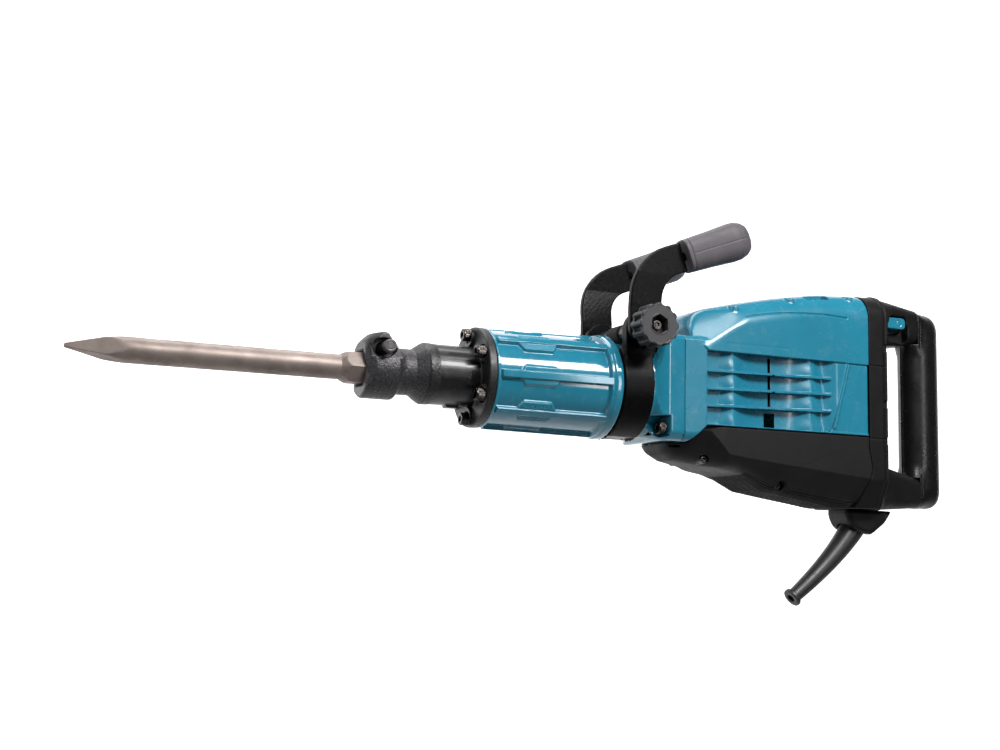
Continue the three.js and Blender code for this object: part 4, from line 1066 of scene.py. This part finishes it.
# ------------------------------------------------------------------ lower cover
COVER_BOTTOM = [(377, -66), (384, -78), (398, -85), (449, -93), (473, -97), (493, -103), (518, -117),
                (560, -123.5), (598, -129), (629, -134), (700, -134)]
FOLD = [(377, -44), (430, -50), (453, -77), (518, -84), (670, -98)]
COVER_SCREWS = [(430.0, -83.0, 5.5), (537.0, -110.0, 6.5)]


def seam_x(z):
    """Where the cover and the rear shell meet; the joint slants forward near the bottom."""
    return np.interp(z, [-136, -85, -60], [651, 667, HOOD_X1])


def folded(s, z, x, half, lean):
    """Side wall that is upright above the fold line and leans in below it."""
    return (s - half + np.maximum(line_height(FOLD, x) - z, 0) * lean) / math.sqrt(1 + lean * lean)


def cover_outer(p):
    x, y, z = p
    half = 42 + 19 * np.clip((x - 377) / 70, 0, 1)
    floor = (line_height(COVER_BOTTOM, x) - z) * 0.93
    body = common(folded(np.abs(y), z, x, half, 0.5), floor, 16.0)
    front = (377.5 - x) * 0.9 + (z + 66) * 0.25
    return common(body, front, 6.0)


def cover_top(x):
    return np.interp(x, [370, 402, 419, 700], [-64.4, -64.4, HOOD_Z0 - 0.4, HOOD_Z0 - 0.4])


def cover_shape(p):
    x, y, z = p
    s = np.abs(y)
    outer = cover_outer(p)
    ribs = 0.55 * np.cos(s * 2 * math.pi / 3.6) * step(x, 478, 486) * (1 - step(x, 640, 650))
    ribs = ribs * (1 - step(z - line_height(COVER_BOTTOM, x), 7, 12)) * (s < 46)
    body = common(outer + 0.6 + ribs, (z - cover_top(x)) * 0.9, 1.0)
    body = common(body, (x - seam_x(z) + 0.3) * 0.95, 0.6)
    body = cut(body, outer + 4.6)
    body = cut(body, case_section(p, 1.0) - 0.5 + np.maximum(x - 404, 0))
    for x0, z0, r in COVER_SCREWS:
        hole = length2(x - x0, z - z0)
        well = prism(hole - r - 2.2, s, 30, 52)
        body = join(body, common(well, outer + 1.0), 1.0)
        body = cut(body, prism(hole - r, s, 36, 80, 0.5), 1.2)
        head = prism(hole - r + 1.2, s, 30, 38.5, 0.8)
        body = join(body, cut(head, prism(hole - 2.0, s, 36.5, 50)))
    notch = [(385, -66.5), (398, -66.5), (398, -69), (385, -69)]
    return cut(body, np.maximum(polygon(x, z, notch), 30 - s), 0.4)


def cover_rule(centres, normals):
    x, y, z = centres.T
    rule = np.zeros(len(x))
    for x0, z0, r in COVER_SCREWS:
        inside = length2(x - x0, z - z0) < r + 0.4
        rule[inside & (np.abs(y) < 39.5)] = 1
        # The walls of each screw hole are painted near black, as painted shade.
        rule[inside & (np.abs(y) >= 39.5) & (np.abs(normals[:, 1]) < 0.5)] = 2
    return rule


add_piece("lower_cover_moulding", cover_shape, (377, -62, -135), (668, 62, -43), 1.1, 0.35,
          "hammer_body", ["lower_cover"], ["black_plastic", "bolt_steel", "dull_black_and_painted_shade"],
          cover_rule)

# ------------------------------------------------------------------ rear shell and grip
DIAL_X, DIAL_Z = 678.0, 20.0
ARM_STATIONS_X = [690.0, 725.0, 776.0]  # half width, bottom and top of each arm of the D at these places
UPPER_ARM = ([44.0, 31.0, 22.0], [79.0, 82.0, 90.0], [141.5, 141.0, 136.0])
LOWER_ARM = ([44.0, 33.0, 22.0], [-134.0, -132.5, -129.0], [-75.0, -80.0, -90.0])
LEVER_X0, LEVER_X1, LEVER_Z0, LEVER_Z1, LEVER_Y = 719.0, 750.0, 106.0, 121.0, 27.0
NOTCHES = ((68, 77, 687.5), (-5, 4, 686), (-52, -43, 688.5))    # bottom, top and front of each
GRIP_HALF_DEPTH, GRIP_HALF_WIDTH = 28.5, 22.0


def shell_outer(p):
    x, y, z = p
    s = np.abs(y)
    half = np.interp(x, [660, 684, SHELL_X1], [61.6, 60.5, 57.5])
    section = section_distance(y, z, half, -134.3, 141.2 + 0.6 * step(x, 664, 690), 32, 17)
    section = common(section, folded(s, z, x, half + 0.2, 0.5), 2.0)
    return common(section, slab(x, 640, SHELL_X1), 3.0)


def arm_block(p, sizes, r):
    x, y, z = p
    half, low, high = [np.interp(x, ARM_STATIONS_X, v) for v in sizes]
    return prism(section_distance(y, z, half, low, high, r, r), x, 686, GRIP_JOINT_X - 0.4)


def shell_shape(p):
    x, y, z = p
    s = np.abs(y)
    outer = shell_outer(p)
    rim = -0.9 * bump(x, SHELL_X1 - 3, 1.6)
    lines = 0.7 * bump(z, 47.6, 0.7) + 0.6 * bump(z, -46, 0.7)
    body = outer + (rim + lines * (1 - step(x, SHELL_X1 - 6, SHELL_X1 - 4))) * (s > 40)
    for low, high, front in NOTCHES:
        notch = np.maximum.reduce([slab(z, low, high), front - x, 55.6 - s])
        body = cut(body, notch, 1.2)
    patch = box((x, s, z), (686, 59.2, -42), (693, 70, -32), 0.5)
    body = cut(body, patch, 0.6)
    arms = join(arm_block(p, UPPER_ARM, 13.0), arm_block(p, LOWER_ARM, 13.0))
    body = join(body, arms, 7.0)
    body = common(body, (seam_x(z) + 0.3 - x) * 0.95, 0.6)
    chamber = section_distance(y, z, 54, -127, 132, 26, 12)
    body = cut(body, np.maximum.reduce([chamber, x - (SHELL_X1 - 8), outer + 5]))
    slot = outside(np.abs(x - 735.5) - 10.5, np.abs(z - 112.3) - 4.5) - 6.5
    body = cut(body, prism(slot, y, -80, 80), 1.5)
    below = outside(np.abs(x - 735) - 14, np.abs(z - 101) - 7) - 6
    body = cut(body, np.maximum(below, 13 - s), 2.0)
    dial = length2(x - DIAL_X, z - DIAL_Z)
    return cut(body, np.maximum(dial - 14.5, 54 - y), 0.6)


def grip_profile(x, z):
    """Side view of the grip: a rounded end with the D-shaped opening taken out."""
    outer = common(common(x - GRIP_X1, z - 136 + 0.035 * (x - 735), 22), -129 - z, 22)
    opening = common(common(x - GRIP_X0, z - 91, 9), -91 - z, 9)
    return np.maximum(outer, -opening)


def rear_grip_shape(p):
    x, y, z = p
    flat = grip_profile(x, z)
    blocky = outside(flat + 14, np.abs(y) - 21.4 + 14) - 14
    inset = np.clip((flat + GRIP_HALF_DEPTH) / GRIP_HALF_DEPTH, 0, 4)
    crowned = (length2(inset, y / GRIP_HALF_WIDTH) - 1) * 20
    body = crowned + (blocky - crowned) * step(np.abs(z), 70, 98) * (1 - step(x, 774, 800))
    seam = 0.45 * bump(y, 0, 0.9) * (x < 790)
    collar = 0.3 * bump(x, GRIP_JOINT_X + 3, 1.0) * (np.abs(z) > 84)
    end = np.maximum(x - GRIP_JOINT_X, 89.6 - np.abs(z))
    return cut(body - seam + collar, end, 0.8)


def lever_shape(p):
    x, y, z = p
    flat = outside(np.abs(x - (LEVER_X0 + LEVER_X1) / 2) - 9.5, np.abs(z - 113.5) - 1.5) - 6.0
    body = prism(flat, y, -LEVER_Y, LEVER_Y, 1.4)
    return body + 0.5 * bump(length2(x - 739, z - 113.5), 4, 0.7) * (np.abs(y) > LEVER_Y - 1.5)


def dial_shape(p):
    x, y, z = p
    u, v = x - DIAL_X, z - DIAL_Z
    radius, angle = length2(u, v), np.arctan2(v, u)
    knurl = 0.4 * np.cos(24 * angle) * step(y, 57, 58)
    body = prism(radius - 13.6 + knurl, y, 55, 63, 1.0)
    return cut(body, box((u, y, v), (-1.2, 62, 4), (1.2, 70, 12), 0.5), 0.4)


add_piece("rear_shell_moulding", shell_shape, (648, -63, -136), (GRIP_JOINT_X, 63, 143), 1.2, 0.35,
          "hammer_body", ["rear_housing"], ["shell_plastic"])
add_piece("rear_grip_moulding", rear_grip_shape, (GRIP_X0 - 10, -23, -130), (GRIP_X1, 23, 136), 1.2, 0.35,
          "hammer_body", ["rear_grip"], ["grip_rubber"])
add_piece("switch_lever_bar", lever_shape, (LEVER_X0, -LEVER_Y, LEVER_Z0), (LEVER_X1, LEVER_Y, LEVER_Z1),
          0.8, 0.4, "switch_lever", ["switch_lever"], ["teal_plastic"])
add_piece("speed_dial_wheel", dial_shape, (DIAL_X - 14, 55, DIAL_Z - 14), (DIAL_X + 14, 63, DIAL_Z + 14),
          0.6, 0.5, "speed_dial", ["speed_dial"], ["knob_plastic"])

# ------------------------------------------------------------------ cord entry
GUARD_STEPS = 60
GUARD_TIP = (-0.8, -0.6)        # x and z of the direction in which the guard ends


def guard_axis():
    """Points and radii along the bent guard."""
    a, b, c = [np.array(v, float) for v in (GUARD_START, GUARD_BEND, GUARD_END)]
    t = np.linspace(0, 1, GUARD_STEPS + 1)[:, None]
    line = (1 - t) ** 2 * a + 2 * t * (1 - t) * b + t ** 2 * c
    return line, 17 - 8 * t[:, 0]


def along_guard(p):
    """Distance from the guard's axis and the guard's radius there."""
    x, y, z = p
    line, radii = guard_axis()
    best = np.full(np.shape(x), 1e9)
    size = np.zeros(np.shape(x))
    for start, end, wide, narrow in zip(line, line[1:], radii, radii[1:]):
        d = end - start
        reach = float(np.linalg.norm(d))
        t = np.clip(((x - start[0]) * d[0] + (z - start[2]) * d[2]) / reach ** 2, 0, 1)
        gap = (x - start[0] - t * d[0]) ** 2 + y ** 2 + (z - start[2] - t * d[2]) ** 2
        nearer = gap < best
        best = np.where(nearer, gap, best)
        size = np.where(nearer, wide + (narrow - wide) * t, size)
    return np.sqrt(best), size


def guard_shape(p):
    x, y, z = p
    u, v = x - GUARD_END[0], z - GUARD_END[2]
    t = u * GUARD_TIP[0] + v * GUARD_TIP[1]
    radial = np.sqrt(np.maximum(u ** 2 + y ** 2 + v ** 2 - t * t, 0))
    gap, size = along_guard(p)
    start = (x - GUARD_START[0]) * 0.525 + (z - GUARD_START[2]) * 0.851
    body = np.maximum.reduce([gap - size, t, start])
    lip = prism(radial - 12.2, t, -5.0, 0.3, 1.6)
    body = join(body, lip, 1.5)
    mouth = prism(radial - 5.2, t, -24, 3)
    return cut(body, mouth, 1.2)


def gland_shape(p):
    x, y, z = p
    outline = [(656, -134.5), (655.5, -140), (658, -147), (663, -154), (667, -158), (672, -161), (684, -165),
               (694, -166), (700, -163), (712, -155), (722, -148), (731, -140), (735.5, -134.5)]
    half = np.interp(x, [655, 664, 694, 716, 736], [21, 24, 24, 22, 13])
    body = outside(polygon(x, z, outline) + 6, np.abs(y) - half + 6) - 6
    body = common(body, z + 134.5)
    return cut(body, along_guard(p)[0] - 17.6, 1.0)


def mouth_rule(centres, normals):
    """The inside of the guard's open end, painted near black as painted shade."""
    x, y, z = centres.T
    across = GUARD_TIP[1] * (x - GUARD_END[0]) - GUARD_TIP[0] * (z - GUARD_END[2])
    return np.where(length2(y, across) < 5.0, 1, 0)


add_piece("cord_gland_moulding", gland_shape, (655, -25, -167), (736, 25, -134), 0.9, 0.4,
          "hammer_body", ["cord_gland"], ["shell_plastic"])
add_piece("cord_guard_sleeve", guard_shape, (572, -18, -261), (706, 18, -140), 0.9, 0.35,
          "hammer_body", ["cord_guard"], ["guard_rubber", "dull_black_and_painted_shade"], mouth_rule)

# ------------------------------------------------------------------ CAD nodes that stay
SLOT_OF = {part["node"]: part["material_slot"] for part in frame["record"]["subparts"]}
MATERIALS["black_steel"] = MATERIALS["satin_black"]
for node_name, node in frame["nodes"].items():
    node.data.materials.clear()
    node.data.materials.append(MATERIALS[SLOT_OF[node_name]])


# ------------------------------------------------------------------ floor, light and camera
FLOOR_Z = -0.62
CAMERA_PLACE = (-0.7275, -1.4752, 0.0488)
CAMERA_TURN = (-23.8, -7.6, 1.3)    # azimuth, elevation and roll in degrees


def make_stage():
    """A pale round floor that curves up into a backdrop all the way round.

    It shows white to the camera; what the object reflects of it is dark in front and bright behind."""
    reach, bend, rise, parts = 6.0, 2.5, 9.0, 48
    angles = np.linspace(0, math.pi / 2, 16)
    profile = [(reach + bend * math.sin(a), bend * (1 - math.cos(a))) for a in angles]
    profile.append((reach + bend, rise))
    mesh = bmesh.new()
    turns = [2 * math.pi * k / parts for k in range(parts)]
    around = [(math.cos(a), math.sin(a)) for a in turns]
    rings = [[mesh.verts.new((r * c, r * s, FLOOR_Z + z)) for c, s in around] for r, z in profile]
    middle = mesh.verts.new((0, 0, FLOOR_Z))
    for k in range(parts):
        after = (k + 1) % parts
        mesh.faces.new((middle, rings[0][k], rings[0][after]))
        for low, high in zip(rings, rings[1:]):
            mesh.faces.new((low[k], high[k], high[after], low[after]))
    data = bpy.data.meshes.new("studio_sweep")
    mesh.to_mesh(data)
    mesh.free()
    obj = bpy.data.objects.new("studio_sweep", data)
    bpy.context.scene.collection.objects.link(obj)
    for face in data.polygons:
        face.use_smooth = True
    paint = Paint("studio_paper")
    tone = paint.noise(3.0, 2.0)
    seen = paint.nodes.new("ShaderNodeLightPath").outputs["Is Camera Ray"]
    axes = paint.nodes.new("ShaderNodeSeparateXYZ")
    paint.put(axes.inputs["Vector"], paint.place)
    white = paint.mix(tone, (0.92, 0.92, 0.92), (0.95, 0.95, 0.95))
    behind = paint.spread(axes.outputs["Y"], 0, 1, -0.5, 0.7)
    paint.set(Base_Color=paint.mix(behind, (0.1, 0.1, 0.1), white), Roughness=0.9)
    glow = paint.spread(axes.outputs["Y"], 0, 1, 1.5, 4.0)
    paint.set(Emission_Color=(1.0, 1.0, 1.0), Emission_Strength=paint.larger(seen, glow))
    data.materials.append(paint.material)


def area_light(name, place, target, size, power):
    data = bpy.data.lights.new(name, "AREA")
    data.shape = "RECTANGLE"
    data.size, data.size_y = size
    data.energy = power
    obj = bpy.data.objects.new(name, data)
    obj.location = place
    obj.rotation_euler = (Vector(target) - Vector(place)).to_track_quat("-Z", "Y").to_euler()
    bpy.context.scene.collection.objects.link(obj)


def make_lights():
    world = bpy.data.worlds.new("studio")
    world.use_nodes = True
    background = world.node_tree.nodes["Background"]
    background.inputs["Color"].default_value = (0.97, 0.98, 1.0, 1)
    background.inputs["Strength"].default_value = 0.07
    bpy.context.scene.world = world
    area_light("main_softbox", (0.4, -1.5, 1.38), (-0.05, 0, 0.25), (1.2, 0.5), 47)
    area_light("shoulder_softbox", (0.25, -0.87, 1.72), (0.16, 0, 0.34), (0.5, 0.5), 6)
    area_light("left_softbox", (-1.9, -0.9, 0.9), (-0.1, 0, 0.25), (0.7, 1.1), 9)
    area_light("strip_light", (1.1, -2.15, 0.45), (0.45, 0, 0.3), (0.18, 1.2), 6)
    area_light("top_softbox", (-0.15, 0.5, 2.1), (0.0, 0.1, 0.3), (1.5, 1.2), 28)


def make_camera():
    azimuth, elevation, roll = [math.radians(v) for v in CAMERA_TURN]
    back = Vector((math.sin(azimuth) * math.cos(elevation),
                   -math.cos(azimuth) * math.cos(elevation), math.sin(elevation)))
    right = Vector((math.cos(azimuth), math.sin(azimuth), 0))
    up = back.cross(right)
    side = right * math.cos(roll) + up * math.sin(roll)
    top = up * math.cos(roll) - right * math.sin(roll)
    data = bpy.data.cameras.new("camera")
    data.lens = 50.0
    data.sensor_width = 36.0
    obj = bpy.data.objects.new("camera", data)
    turn = Matrix((side, top, back)).transposed().to_4x4()
    obj.matrix_world = Matrix.Translation(CAMERA_PLACE) @ turn
    bpy.context.scene.collection.objects.link(obj)
    bpy.context.scene.camera = obj


make_stage()
make_lights()
make_camera()
bpy.context.scene.view_settings.view_transform = "Standard"
